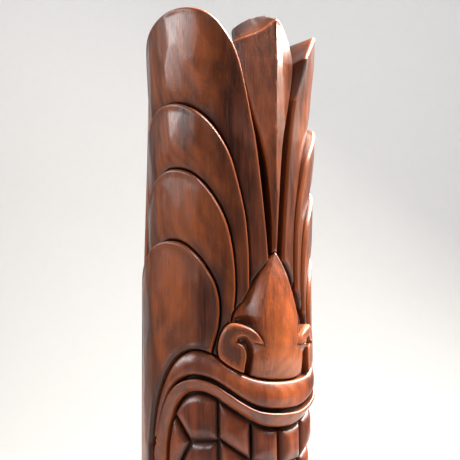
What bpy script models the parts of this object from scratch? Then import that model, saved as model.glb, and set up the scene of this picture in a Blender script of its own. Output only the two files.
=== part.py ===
"""Head tiki carved from one round hardwood log, 518 mm tall and 150 mm thick, standing on its own foot.

Every carved element is one body, parted from its neighbours along the carver's own V-cuts. An element is
drawn as an outline on the unrolled bark of the log (turn from the front in degrees, height in millimetres),
given a carved face, and wrapped back round the log. The face looks along -Y, +Z is up, and left and right
are the sides of somebody who stands in front of it.
"""

import math

import bpy
import numpy as np
from mathutils.geometry import delaunay_2d_cdt

MM = 0.001
LOG_RADIUS = 75.0
MM_PER_DEGREE = math.radians(1.0) * LOG_RADIUS

# How finely an element is cut: outline steps, field steps, width of the rounded arris (mm).
EDGE_STEP = 6.6
FINE_STEP = 3.5
FIELD_STEP = 12.5
TOOTH_STEP = 8.0
FACE_STEP = 8.0
SCROLL_STEP = 5.0
BACK_STEP = 14.0
ARRIS = 2.4
SCROLL_ARRIS = 3.6
V_CUT = 0.9
FLOOR_CLEARANCE = 0.9
SPLINE_SAMPLES = 16
SURE_INSIDE = 0.75

FOOT_TOP = 36.0
FOOT_RADIUS = 75.0
FOOT_CHAMFER = 2.0
FOOT_SIDES = 64
BODY_BOTTOM = FOOT_TOP + 0.6

# Heart of the log: thick behind the mouth, slimmer behind the deep cuts of the headdress.
CORE_MOUTH_RADIUS = 59.5
CORE_CREST_RADIUS = 46.0
CORE_STEP_BOTTOM = 258.0
CORE_STEP_TOP = 340.0
CORE_TOP = 486.0
CORE_DOME = 8.0
CORE_SIDES = 60

# Plumes: where their outlines end, and each one's radius at its top, lower down, round the flank and there
# at its top. The right-hand ones end a little lower.
PLUME_BACK = 120.0
PLUME_HIDDEN_END = 221.0
CHEEK_FRONT = 22.0
PLUME_FACES = (
    (76.8, 70.8, 69.8, 73.0), (75.2, 70.6, 70.4, 71.6), (72.0, 69.8, 70.8, 71.6),
    (70.0, 69.6, 76.0, 76.0),
)
RIGHT_DROPS = (6.0, 7.0, 9.0, 2.0)
PLUME_LEAN_START = 95.0
PLUME_LEAN_END = 10.0
GROOVE_DEPTH = 4.2
GROOVE_WIDTH = 6.5
PLUME_TOP_FALL = 10.0
# Radius down the middle of the back: (height, radius), mm.
BACK_RADII = ((60, 75.2), (290, 75.0), (400, 72.0), (500, 70.2))
BACK_TOP = 482.0

MOUTH_MIDDLE = 138.0
LOWER_JAW = 0.80
MOUTH_SIDE = 93.0
# The mouth is cut deeper away from the middle of the face, and rises again at its corners: turns, then mm.
MOUTH_SINK_TURNS = (26, 52)
MOUTH_CORNER_TURNS = (62, 90)
MOUTH_SINK_LEFT = 6.0
MOUTH_SINK_RIGHT = 9.2
MOUTH_CORNER_RISE = 2.6
LIP_CROWN = 76.8
# The outer cord rounds up over this share of its width, and sinks a little towards the cut below it.
OUTER_ROUND_SHARE = 0.6
OUTER_ROUND_DROP = 6.5
OUTER_EDGE_DROP = 1.2
OUTER_ARRIS = 1.8
# The inner cord starts a little prouder and rounds in towards the teeth.
INNER_RISE = 0.2
INNER_ROUND_DROP = 5.2
INNER_ROUND_POWER = 2.2
INNER_ARRIS = 1.2
# The dark cut between the two cords reaches this far above and below its line.
LIP_CUT_UP = 1.4
LIP_CUT_DOWN = 2.6
TOOTH_PILLOW = 9.0
TOOTH_EDGE_DROP = 4.4
TOOTH_PILLOW_POWER = 2.6
TOOTH_LOWEST = 60.6
TOOTH_CROWN = 73.0
LOWER_TOOTH_SINK = 2.2

# Outlines: (turn from the front in degrees, height in mm), drawn for one side and mirrored for the other.
PLUME_EDGES = (
    (
        (5.0, 271), (5.5, 299), (6.9, 326), (9.7, 361), (13.5, 400), (17.3, 425), (22.4, 455),
        (27.6, 477), (33.9, 491.5), (40.8, 503), (50, 510.8), (61, 514.3), (76, 514.3), (93, 510.5),
        (108, 503), (PLUME_BACK, 493),
    ),
    (
        (19.5, 251), (19.4, 281), (19.6, 312), (21.7, 341), (26.8, 369), (32.6, 392), (42, 412),
        (52.5, 425.5), (64, 433), (76, 435.8), (87, 435), (97, 430.5), (108, 421), (PLUME_BACK, 408),
    ),
    (
        (31.7, 241), (30, 263), (28.7, 285), (30.3, 312), (34.5, 335), (42, 354), (51.5, 369),
        (62, 377.8), (74, 381), (84.5, 379.5), (96, 373), (108, 361.5), (PLUME_BACK, 348),
    ),
    (
        (48.8, 216), (44.6, 236), (41, 250), (39.7, 268), (42.3, 284.5), (48.3, 298), (56, 309.5),
        (65.5, 318.5), (75.5, 322), (85, 321.3), (95, 316), (108, 304.5), (PLUME_BACK, 290),
    ),
)
CREST_TIP = (5.4, 508)
CREST_LEFT = (
    CREST_TIP, (0.2, 503.2), (-6.4, 497.2), (-16.4, 492), (-23.8, 488.6), (-28.8, 484.4), (-26, 474),
    (-23.2, 463), (-20.6, 452), (-16.2, 431), (-10.4, 406), (-6.2, 385), (-4, 362), (-2.4, 335),
    (-1.8, 312), (-1.6, 300),
)
CREST_RIGHT = (
    CREST_TIP, (9.4, 507.6), (15.4, 504), (21.6, 496), (26.4, 487), (28.4, 478), (27, 467), (23.4, 454),
    (16, 431), (8.6, 406), (5.8, 385), (4, 362), (2.4, 335), (1.8, 312), (1.6, 300),
)
# The ridge of the crest: (height, turn), then (height, radius), and how steeply its flanks fall away.
RIDGE_TURNS = ((400, 0), (506, 4.8))
RIDGE_RADII = ((300, 68.5), (330, 70.5), (360, 72.0), (404, 73.0), (467, 70.5), (503, 67.5))
CREST_FLANK = 0.48
CREST_ARRIS = 0.85
# How much the end grain of the crest climbs towards the heart: (turn, mm).
CREST_RISE = ((-29, 14.5), (-18, 16), (-9, 16), (-1, 12), (5.4, 8), (10, 10), (15, 13), (21, 16.5), (28, 20))
SPADE_SIDE = (
    (0, 312), (4, 305.8), (8.4, 299.3), (13.3, 292.4), (17.2, 285.4), (20.7, 276.5), (23.6, 270.5),
    (27.6, 266), (30.4, 261.6), (31.4, 256),
)
NOSE_FACE_SIDE = (
    (0, 311), (3.4, 302.5), (6.8, 291), (9.8, 279.5), (12.2, 268.5), (13.2, 259), (12.6, 248),
    (11.4, 238.5),
)
NOSE_FACE_END = (24, 224)
NOSE_SWELL = 0.010
NOSE_ARRIS = 1.45
# The ridge of the nose in profile: (height, distance ahead of the log's axis), mm.
NOSE_PROFILE = (
    (206, 70.5), (212, 73.5), (218, 76.0), (226, 77.8), (238, 78.8), (250, 78.4), (266, 76.8),
    (279, 75.4), (292, 73.6), (312, 69.0),
)
# Where the brows begin to slope back, and how steeply.
BROW_BOTTOM = 238.0
BROW_TOP = 256.0
BROW_SLOPE = 0.9
BROW_DEPTH = 12.0
NOSE_LOWEST = 62.0
# The brow ends in a scoop along this line, above the scroll.
SCOOP_EDGE = (
    (30.4, 258), (27, 260.3), (22.5, 261), (18.4, 259.4), (14.8, 255), (12.6, 246.5), (11.3, 237.5),
)
SCOOP_SLOPE = 1.3
SCOOP_DEPTH = 7.0
SCROLL_RIM = (
    (11.2, 236.8), (15, 244.8), (19.5, 250), (26, 253.4), (31, 254.2), (35, 252), (38.4, 246.8),
    (40.7, 238), (40.6, 230.5), (38.5, 224.5), (34, 219.2), (28.1, 215.3),
)
SCROLL_CROWN = ((11, 78.8), (16, 78.4), (20, 77.6), (28, 75.0), (41, 71.4))
# A scroll leaves the face of the nose within this distance of their joint.
SCROLL_BLEND = 7.0
SCROLL_HOLLOW_INNER = ((24.9, 213), (23.9, 221), (23, 227.5), (23.6, 233), (25.6, 237), (29.6, 239.6))
SCROLL_HOLLOW_OUTER = (
    (29.6, 239.6), (27.4, 243.4), (23.4, 244), (20, 239.6), (18.2, 232), (18.5, 223.5), (20.3, 208),
)
HOLLOW_ARRIS = 0.6
HOLLOW_SLOPE = 2.8
HOLLOW_DEPTH = 9.0
LIP_TOP = (
    (0, 209.1), (9, 209.6), (19, 212), (28, 216.5), (34.6, 221.4), (42, 227.7), (50.8, 232.2),
    (60, 233.3), (69, 229.4), (76, 221.2), (81.8, 209.6), (86.3, 196.2), (89.6, 182),
    (MOUTH_SIDE - 0.9, 163),
)
LIP_GROOVE = (
    (0, 186.2), (8, 186.7), (14.8, 188.2), (21.2, 191.7), (27.8, 197), (34.4, 202.8), (42.3, 208.7),
    (51.6, 212.3), (59.7, 213), (68.4, 210), (75.5, 203.3), (81.4, 191.7), (85.8, 177), (89, 163),
)
LIP_INNER_EDGE = (
    (0, 173), (9, 174), (17, 177.4), (25.5, 183.6), (34.4, 190.5), (42.2, 196.5), (50, 200.4),
    (57.6, 201.7), (65.4, 199.7), (71.8, 193.9), (77, 185.2), (81, 172.7), (83.7, 157),
    (84.3, MOUTH_MIDDLE),
)
CHIN_CROWN = 75.5
CHIN_FALL = 0.0025
CHIN_ARRIS = 3.0
CHIN_TOP = 96.0
CHIN_SIDE = ((24, 62), (31, 50), (34, BODY_BOTTOM))
TOOTH_LIP_GAP = 2.6
TOOTH_TOP = 245.0
BITE = MOUTH_MIDDLE + 0.9
# The upper teeth of one side, from the middle out, tall enough to be cut off along the lip.
UPPER_TEETH = (
    ((0.85, 143.5), (18.7, 148), (18.7, TOOTH_TOP), (0.85, TOOTH_TOP)),
    ((20.4, 149.5), (40.4, 165), (40.4, TOOTH_TOP), (20.4, TOOTH_TOP)),
    (
        (42.2, 164), (62.8, 163.4), (66.6, 168.8), (75.2, 182.4), (86, 207), (86, TOOTH_TOP),
        (42.2, TOOTH_TOP),
    ),
    ((77.5, BITE), (92, BITE), (92, 188), (76.8, 180.6), (64.8, 161.2)),
)
# The lower teeth of one side, long enough to be cut off along the lower lip.
LOWER_TEETH = (
    ((0.85, 141.7), (0.85, 60), (18.7, 60), (18.7, 146.2)),
    ((20.4, 147.7), (20.4, 60), (40.4, 60), (40.4, 163.2)),
    (
        (42.2, 162.2), (42.2, 60), (86, 60), (86, 82), (75.2, 102), (63, 119.5), (75.6, MOUTH_MIDDLE),
        (62.4, 161.4),
    ),
    ((77.5, BITE - 1.8), (64.8, 119.5), (76.8, 104), (92, 98), (92, BITE - 1.8)),
)

# Stain on each group of carvings: linear colour and roughness of the lacquer.
MATERIALS = {
    "headdress_wood": ((0.120, 0.030, 0.011, 1.0), 0.32),
    "face_wood": ((0.330, 0.080, 0.022, 1.0), 0.32),
    "lip_wood": ((0.180, 0.042, 0.016, 1.0), 0.28),
    "tooth_wood": ((0.140, 0.032, 0.012, 1.0), 0.30),
    "heart_wood": ((0.035, 0.009, 0.006, 1.0), 0.50),
}


def catmull_rom(points, samples):
    """Smooth curve through the points, ends included."""
    points = np.asarray(points, float)
    padded = np.vstack([2 * points[0] - points[1], points, 2 * points[-1] - points[-2]])
    t = np.linspace(0.0, 1.0, samples, endpoint=False)[:, None]
    pieces = []
    for a, b, c, d in zip(padded, padded[1:], padded[2:], padded[3:]):
        bend = (2 * a - 5 * b + 4 * c - d) * t**2
        twist = (3 * b - a - 3 * c + d) * t**3
        pieces.append(0.5 * (2 * b + (c - a) * t + bend + twist))
    return np.vstack(pieces + [points[-1:]])


def resampled(line, step):
    """The open line again, in equal steps of about the given length."""
    lengths = np.hypot(*np.diff(line, axis=0).T)
    along = np.concatenate([[0.0], np.cumsum(lengths)])
    count = max(2, round(along[-1] / step) + 1)
    at = np.linspace(0.0, along[-1], count)
    return np.stack([np.interp(at, along, line[:, 0]), np.interp(at, along, line[:, 1])], 1)


def curve(points, step=EDGE_STEP):
    """A drawn (degrees, mm) curve as points on the unrolled bark, in mm."""
    smooth = catmull_rom(points, SPLINE_SAMPLES)
    smooth[:, 0] *= MM_PER_DEGREE
    return resampled(smooth, step)


def corners(*points):
    """Straight stretches between (degrees, mm) corners, on the unrolled bark."""
    line = np.array(points, float)
    line[:, 0] *= MM_PER_DEGREE
    stretches = [resampled(line[i : i + 2], EDGE_STEP)[:-1] for i in range(len(line) - 1)]
    return np.vstack(stretches + [line[-1:]])


def closed(*lines):
    """One anticlockwise loop from lines laid end to end."""
    loop = np.vstack(lines)
    step = np.hypot(*(loop - np.roll(loop, 1, axis=0)).T)
    loop = loop[step > 1e-6]
    x, y = loop.T
    area = np.dot(x, np.roll(y, -1)) - np.dot(y, np.roll(x, -1))
    return loop if area > 0 else loop[::-1]


def mirrored(line):
    """The same line on the other side of the face, running back."""
    return line[::-1] * (-1.0, 1.0)


def jaw(line):
    """A line of the upper mouth folded down to the lower jaw."""
    return np.stack([line[:, 0], MOUTH_MIDDLE - LOWER_JAW * (line[:, 1] - MOUTH_MIDDLE)], 1)


def moved(loop, distance):
    """The loop pushed outwards by the distance, or inwards if it's negative."""
    before = loop - np.roll(loop, 1, axis=0)
    after = np.roll(loop, -1, axis=0) - loop
    tangent = before / np.hypot(*before.T)[:, None] + after / np.hypot(*after.T)[:, None]
    tangent /= np.maximum(np.hypot(*tangent.T), 0.3)[:, None]
    return loop + distance * np.stack([tangent[:, 1], -tangent[:, 0]], 1)


def distance_to(points, starts, ends):
    """How far each point is from the nearest of the stretches."""
    nearest = np.full(len(points), np.inf)
    for a, b in zip(starts, ends):
        run = b - a
        t = np.clip((points - a) @ run / max(run @ run, 1e-12), 0.0, 1.0)
        nearest = np.minimum(nearest, np.hypot(*(points - a - t[:, None] * run).T))
    return nearest


def inside(points, starts, ends):
    """Whether each point is inside the region bounded by the stretches."""
    crossings = np.zeros(len(points), int)
    for (ax, ay), (bx, by) in zip(starts, ends):
        if ay == by:
            continue
        spans = (points[:, 1] >= min(ay, by)) & (points[:, 1] < max(ay, by))
        at = ax + (points[:, 1] - ay) * (bx - ax) / (by - ay)
        crossings += spans & (points[:, 0] < at)
    return crossings % 2 == 1


def triangulated(outline, cuts, points=(), creases=()):
    """Triangles of the outline less the cuts, through the points and along the crease lines."""
    coords, loops, edges = [], [], []
    for loop in (outline, *cuts):
        loops.append(list(range(len(coords), len(coords) + len(loop))))
        coords.extend(map(tuple, loop))
    for line in creases:
        edges.extend((len(coords) + i, len(coords) + i + 1) for i in range(len(line) - 1))
        coords.extend(map(tuple, line))
    coords.extend(map(tuple, points))
    flat, _, faces, _, _, owners = delaunay_2d_cdt(coords, edges, loops, 0, 1e-4, True)
    kept = [tuple(face) for face, owner in zip(faces, owners) if 0 in owner and len(owner) == 1]
    return np.array([tuple(p) for p in flat]), kept


def rim_of(faces):
    """Directed edges that have a face on one side only."""
    edges = {(f[i], f[(i + 1) % len(f)]) for f in faces for i in range(len(f))}
    return [(a, b) for a, b in edges if (b, a) not in edges]


def field_points(flat, faces, step):
    """Points over the field of a region, with a row along its arris."""
    rim = np.array(sorted(rim_of(faces)))
    starts, ends = flat[rim[:, 0]], flat[rim[:, 1]]
    run = ends - starts
    inward = np.stack([-run[:, 1], run[:, 0]], 1) / np.maximum(np.hypot(*run.T), 1e-9)[:, None]
    row = (starts + ends) / 2 + ARRIS * inward
    row = row[distance_to(row, starts, ends) > 0.9 * ARRIS]
    low, high = starts.min(0), starts.max(0)
    columns = np.arange(low[0] + step / 2, high[0], step)
    rows = np.arange(low[1] + step / 2, high[1], step)
    grid = np.array([(x + (j % 2) * step / 2, y) for j, y in enumerate(rows) for x in columns])
    if len(grid) == 0:
        return row
    grid = grid[inside(grid, starts, ends)]
    clear = distance_to(grid, starts, ends) > ARRIS + SURE_INSIDE * step / 2
    return np.vstack([row, grid[clear]])


def rounded(distance, width):
    """Drop of a quarter-round arris of the given width."""
    short = np.clip(width - distance, 0.0, width)
    return width - np.sqrt(width**2 - short**2)


def smooth_step(low, high, x):
    t = np.clip((x - low) / (high - low), 0.0, 1.0)
    return t * t * (3 - 2 * t)


def core_radius(height):
    """Radius of the heart of the log at a height."""
    slim = smooth_step(CORE_STEP_BOTTOM, CORE_STEP_TOP, height)
    return CORE_MOUTH_RADIUS + (CORE_CREST_RADIUS - CORE_MOUTH_RADIUS) * slim


def on_log(flat, radius):
    """Unrolled points at their radii, wrapped round the log, in metres."""
    turn = flat[:, 0] / LOG_RADIUS
    return MM * np.stack([radius * np.sin(turn), -radius * np.cos(turn), flat[:, 1]], 1)


def add_object(name, points, faces, material):
    mesh = bpy.data.meshes.new(name)
    mesh.from_pydata([tuple(p) for p in points], [], [tuple(f) for f in faces])
    mesh.materials.append(bpy.data.materials[material])
    mesh.validate()
    obj = bpy.data.objects.new(name, mesh)
    bpy.data.collections["tiki_figure"].objects.link(obj)


def carve(name, material, outline, cuts, surface, creases=(), end_rise=None, step=FIELD_STEP):
    """One element: the outline less the cuts, from its carved surface in to the heart of the log.

    No modelling tool makes a relief wrapped on a log, so its faces are built here.
    """
    flat, faces = triangulated(outline, cuts)
    points = field_points(flat, faces, step)
    flat, faces = triangulated(outline, cuts, points, creases)
    used = sorted({i for face in faces for i in face})
    index = {old: new for new, old in enumerate(used)}
    flat = flat[used]
    faces = [tuple(index[i] for i in face) for face in faces]
    rim = sorted(rim_of(faces))
    ends = np.array(rim)
    depth = distance_to(flat, flat[ends[:, 0]], flat[ends[:, 1]])
    degrees = flat[:, 0] / MM_PER_DEGREE
    floor_flat = flat.copy()
    if end_rise is not None:
        floor_flat[:, 1] += end_rise(degrees, flat[:, 1])
    top = on_log(flat, surface(degrees, flat[:, 1], depth))
    floor = on_log(floor_flat, core_radius(floor_flat[:, 1]) + FLOOR_CLEARANCE)
    count = len(flat)
    bottom = [tuple(count + i for i in reversed(face)) for face in faces]
    walls = [(a, count + a, count + b, b) for a, b in rim]
    add_object(name, np.vstack([top, floor]), faces + bottom + walls, material)


def lathe(name, profile, sides, material):
    """A body of revolution: a (radius, height) profile, from axis to axis, under a Screw modifier."""
    mesh = bpy.data.meshes.new(name)
    points = [(MM * radius, 0.0, MM * height) for radius, height in profile]
    mesh.from_pydata(points, [(i, i + 1) for i in range(len(points) - 1)], [])
    mesh.materials.append(bpy.data.materials[material])
    obj = bpy.data.objects.new(name, mesh)
    bpy.data.collections["tiki_figure"].objects.link(obj)
    screw = obj.modifiers.new("turned", "SCREW")
    screw.axis = "Z"
    screw.steps = sides
    screw.render_steps = sides
    screw.use_merge_vertices = True
    screw.merge_threshold = 1e-5
    screw.use_normal_calculate = True


def plume_edge(level, sign):
    """The drawn edge of a plume on the left (-1) or right (1) side."""
    edge = curve(PLUME_EDGES[level]) * (sign, 1.0)
    if sign > 0:
        top = edge[:, 1].max()
        edge[:, 1] -= RIGHT_DROPS[level] * smooth_step(top - 60, top, edge[:, 1])
    return edge


def plume_loop(level, sign):
    """Whole outline of a headdress plume, as if nothing lay over it."""
    points = PLUME_EDGES[level]
    lowest = level == len(PLUME_EDGES) - 1
    bottom = BODY_BOTTOM if lowest else PLUME_HIDDEN_END - level
    turn, height = points[0]
    front = CHEEK_FRONT if lowest else turn
    side = corners((PLUME_BACK, points[-1][1]), (PLUME_BACK, bottom), (front, bottom), (turn, height))
    return closed(plume_edge(level, sign), side[1:-1] * (sign, 1.0))


def plume_surface(level, sign):
    """A plume leans out towards its top and sinks beside the plume that lies over it."""
    crown, foot, flank, flank_crown = PLUME_FACES[level]
    top = max(height for _, height in PLUME_EDGES[level])
    over = plume_edge(level + 1, sign) if level + 1 < len(PLUME_EDGES) else None

    def surface(degrees, height, depth):
        lean = smooth_step(top - PLUME_LEAN_START, top - PLUME_LEAN_END, height)
        radius = foot + (crown - foot) * lean
        round_side = flank + (flank_crown - flank) * lean
        radius += (round_side - radius) * smooth_step(60, 95, abs(degrees))
        if over is not None:
            flat = np.stack([degrees * MM_PER_DEGREE, height], 1)
            radius -= GROOVE_DEPTH * np.exp(-distance_to(flat, over[:-1], over[1:]) / GROOVE_WIDTH)
        return radius - rounded(depth, ARRIS)

    return surface


def plume_top_fall(degrees, height):
    """The end grain of the tallest plumes falls away towards the heart."""
    return -PLUME_TOP_FALL * smooth_step(440, 492, height)


def crest_top_rise(degrees, height):
    """The end grain of the crest climbs behind its edge, more so at its sides."""
    return np.interp(degrees, *zip(*CREST_RISE)) * smooth_step(462, 479, height)


def crest_surface(degrees, height, depth):
    """Two flat flanks that meet in a sharp ridge."""
    turn = np.radians(abs(degrees - np.interp(height, *zip(*RIDGE_TURNS))))
    ridge = np.interp(height, *zip(*RIDGE_RADII))
    flank = ridge / (np.cos(turn) + CREST_FLANK * np.sin(turn))
    return flank - rounded(depth, CREST_ARRIS)


def sloped_down(flat, loop, edge, slope, deepest):
    """How far a slope that starts at an edge has sunk, inside a loop."""
    sunk = np.minimum(slope * distance_to(flat, edge[:-1], edge[1:]), deepest)
    return np.where(inside(flat, loop, np.roll(loop, -1, axis=0)), sunk, 0.0)


def nose_surface(degrees, height, depth):
    """A swelling front face, an arris each side, brows that slope back, and scoops round the scrolls."""
    front = np.interp(height, *zip(*NOSE_PROFILE))
    face_turns, face_heights = np.array((*NOSE_FACE_SIDE, NOSE_FACE_END)).T
    face_turn = np.interp(-height, -face_heights, face_turns)
    turn = np.radians(abs(degrees))
    arris = np.radians(face_turn)
    across = front * np.tan(np.minimum(turn, arris))
    ahead = front - NOSE_SWELL * across**2
    radius = ahead / np.cos(np.minimum(turn, arris))
    past_arris = np.maximum(turn - arris, 0.0) * LOG_RADIUS
    sunk = np.minimum(BROW_SLOPE * past_arris, BROW_DEPTH)
    radius -= sunk * smooth_step(BROW_BOTTOM, BROW_TOP, height)
    flat = np.stack([abs(degrees) * MM_PER_DEGREE, height], 1)
    radius -= sloped_down(flat, scoop_loop(), curve(SCOOP_EDGE, FINE_STEP), SCOOP_SLOPE, SCOOP_DEPTH)
    roof = curve(SCROLL_HOLLOW_OUTER, FINE_STEP)
    radius -= sloped_down(flat, hollow_loop(), roof, HOLLOW_SLOPE, HOLLOW_DEPTH)
    return np.maximum(radius, NOSE_LOWEST) - rounded(depth, NOSE_ARRIS)


def nostril_surface(degrees, height, depth):
    """A scroll that grows out of the face of the nose and falls away towards the cheek."""
    flat = np.stack([abs(degrees) * MM_PER_DEGREE, height], 1)
    joint = corners(SCROLL_HOLLOW_OUTER[3], SCROLL_RIM[0])
    away = smooth_step(0.0, SCROLL_BLEND, distance_to(flat, joint[:1], joint[1:]))
    rim = curve(SCROLL_RIM, FINE_STEP)
    crown = np.interp(abs(degrees), *zip(*SCROLL_CROWN))
    crown -= rounded(distance_to(flat, rim[:-1], rim[1:]), SCROLL_ARRIS) + rounded(depth, HOLLOW_ARRIS)
    return (1 - away) * nose_surface(degrees, height, np.full(len(flat), FIELD_STEP)) + away * crown


def mouth_crown(degrees, middle):
    """The mouth is cut a little deeper at the corners of the face than in its middle."""
    turn = abs(degrees)
    deep = np.where(degrees > 0, MOUTH_SINK_RIGHT, MOUTH_SINK_LEFT)
    sunk = deep * smooth_step(*MOUTH_SINK_TURNS, turn)
    return middle - sunk + MOUTH_CORNER_RISE * smooth_step(*MOUTH_CORNER_TURNS, turn)


def upper_height(height):
    """Heights below the middle of the mouth as the heights above it that they mirror."""
    return np.where(height < MOUTH_MIDDLE, MOUTH_MIDDLE + (MOUTH_MIDDLE - height) / LOWER_JAW, height)


def between(degrees, height, upper, lower):
    """Distances to the upper and the lower edge of a lip."""
    flat = np.stack([abs(degrees) * MM_PER_DEGREE, upper_height(height)], 1)
    return distance_to(flat, upper[:-1], upper[1:]), distance_to(flat, lower[:-1], lower[1:])


def outer_lip_surface(degrees, height, depth):
    """A full round top that runs out over a crisp lower edge."""
    over, under = between(degrees, height, curve(LIP_TOP), curve(LIP_GROOVE))
    share = over / (over + under)
    bend = 1 - np.minimum(share / OUTER_ROUND_SHARE, 1.0)
    radius = mouth_crown(degrees, LIP_CROWN) - OUTER_ROUND_DROP * (1 - np.sqrt(1 - bend**2))
    radius -= OUTER_EDGE_DROP * smooth_step(OUTER_ROUND_SHARE, 1.0, share)
    return radius - rounded(depth, OUTER_ARRIS)


def inner_lip_surface(degrees, height, depth):
    """A sharp upper edge over a face that rounds in towards the teeth."""
    over, under = between(degrees, height, curve(LIP_GROOVE) - (0, LIP_CUT_DOWN), curve(LIP_INNER_EDGE))
    share = over / (over + under)
    radius = mouth_crown(degrees, LIP_CROWN + INNER_RISE) - INNER_ROUND_DROP * share**INNER_ROUND_POWER
    return radius - rounded(depth, INNER_ARRIS)


def tooth_surface(crown):
    """A tooth is a soft pillow between its cuts."""

    def surface(degrees, height, depth):
        near_edge = 1 - np.minimum(depth, TOOTH_PILLOW) / TOOTH_PILLOW
        pillow = mouth_crown(degrees, crown) - TOOTH_EDGE_DROP * near_edge**TOOTH_PILLOW_POWER
        return np.maximum(pillow, TOOTH_LOWEST)

    return surface


def chin_surface(degrees, height, depth):
    """A beard block, a little flatter than the log."""
    return CHIN_CROWN - CHIN_FALL * degrees**2 - rounded(depth, CHIN_ARRIS)


def back_surface(degrees, height, depth):
    return np.interp(height, *zip(*BACK_RADII)) - rounded(depth, ARRIS)


def both_sides(half):
    """A closed loop from a half that starts and ends on the middle of the face."""
    return closed(mirrored(half), half)


def side_of(loop, sign):
    """The loop for the right side, or mirrored for the left."""
    return loop if sign > 0 else mirrored(loop)


def crest_loop():
    return closed(curve(CREST_LEFT)[::-1], curve(CREST_RIGHT)[1:])


def mouth_outline():
    upper = curve(LIP_TOP)
    side = corners((MOUTH_SIDE, 160.0), (MOUTH_SIDE, MOUTH_MIDDLE - LOWER_JAW * 22.0))
    lower = jaw(curve(LIP_TOP))[::-1]
    return both_sides(np.vstack([upper, side, lower]))


def nose_and_scrolls():
    """Everything between the headdress and the upper lip."""
    rim = curve(SCROLL_RIM, FINE_STEP)
    beyond_spade = rim[rim[:, 1].argmax() + 1 :]
    low = corners((24, 205), (0, 205))
    return both_sides(np.vstack([curve(SPADE_SIDE), beyond_spade, low]))


def scroll_loop():
    """The rim of the scroll, round its foot, up inside the hollow and back along the roof of the hollow."""
    roof = curve(SCROLL_HOLLOW_OUTER[:4], FINE_STEP)
    return closed(curve(SCROLL_RIM, FINE_STEP), curve(SCROLL_HOLLOW_INNER, FINE_STEP), roof[1:])


def hollow_loop():
    return closed(curve(SCROLL_HOLLOW_OUTER, FINE_STEP), curve(SCROLL_HOLLOW_INNER, FINE_STEP)[:-1])


def scoop_loop():
    rim = curve(SCROLL_RIM, FINE_STEP)
    return closed(curve(SCOOP_EDGE, FINE_STEP), rim[: rim[:, 1].argmax()])


def lip_loops():
    """Outlines of the two cords of the upper lip, with the dark cut between them."""
    top = curve(LIP_TOP)
    groove = curve(LIP_GROOVE)
    over = groove + (0.0, LIP_CUT_UP)
    under = groove - (0.0, LIP_CUT_DOWN)
    inner = curve(LIP_INNER_EDGE)
    outer_loop = both_sides(np.vstack([top, over[::-1]]))
    side = corners((MOUTH_SIDE, 153.0), (MOUTH_SIDE, MOUTH_MIDDLE + 0.5))
    low = corners((84.3, MOUTH_MIDDLE + 0.5))
    inner_low = inner[inner[:, 1] > MOUTH_MIDDLE + 1.5]
    inner_loop = both_sides(np.vstack([under, side, low, inner_low[::-1]]))
    return outer_loop, inner_loop


def chin_loop():
    """A beard block that widens from under the lower lip to the foot."""
    top = corners((0, CHIN_TOP), (20, CHIN_TOP))
    low = corners((20, BODY_BOTTOM), (0, BODY_BOTTOM))
    return both_sides(np.vstack([top, curve(CHIN_SIDE), low]))


def beyond_teeth():
    """Everything past the tips of the right-hand upper teeth, which follow the inner lip."""
    edge = curve(LIP_INNER_EDGE, FINE_STEP)
    run = np.gradient(edge, axis=0)
    run /= np.hypot(*run.T)[:, None]
    tips = edge + TOOTH_LIP_GAP * np.stack([run[:, 1], -run[:, 0]], 1)
    low = MOUTH_MIDDLE - 5
    return closed(tips, corners((88, low), (110, low), (110, 260), (-6, 260)))


def add_headdress():
    spade = moved(nose_and_scrolls(), V_CUT)
    mouth = moved(mouth_outline(), V_CUT)
    chin = moved(chin_loop(), V_CUT)
    crest = crest_loop()
    ridge = np.array([(turn * MM_PER_DEGREE, height) for height, turn in ((313.5, 0), *RIDGE_TURNS)])
    carve("crest_plume", "headdress_wood", crest, [spade], crest_surface, [ridge], crest_top_rise)
    for side, sign in (("left", -1), ("right", 1)):
        for level in range(len(PLUME_EDGES)):
            loop = plume_loop(level, sign)
            cuts = [spade, mouth, chin]
            if level == 0:
                cuts.append(moved(crest, V_CUT))
            if level + 1 < len(PLUME_EDGES):
                cuts.append(moved(plume_loop(level + 1, sign), V_CUT))
            fall = plume_top_fall if level == 0 else None
            surface = plume_surface(level, sign)
            carve(f"plume_{side}_{level + 1}", "headdress_wood", loop, cuts, surface, end_rise=fall)


def add_nose():
    scrolls = [moved(side_of(scroll_loop(), sign), V_CUT / 2) for sign in (-1, 1)]
    cuts = [*scrolls, moved(mouth_outline(), V_CUT)]
    creases = []
    edges = ((NOSE_FACE_SIDE, EDGE_STEP), (SCOOP_EDGE, FINE_STEP), (SCROLL_HOLLOW_OUTER, FINE_STEP))
    for points, step in edges:
        line = curve(points, step)[1:-1]
        creases += [line, mirrored(line)]
    carve("nose", "face_wood", nose_and_scrolls(), cuts, nose_surface, creases, step=FACE_STEP)
    for side, sign in (("left", -1), ("right", 1)):
        loop = side_of(moved(scroll_loop(), -V_CUT / 2), sign)
        mouth = moved(mouth_outline(), V_CUT)
        carve(f"nostril_{side}", "face_wood", loop, [mouth], nostril_surface, step=SCROLL_STEP)


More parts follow.
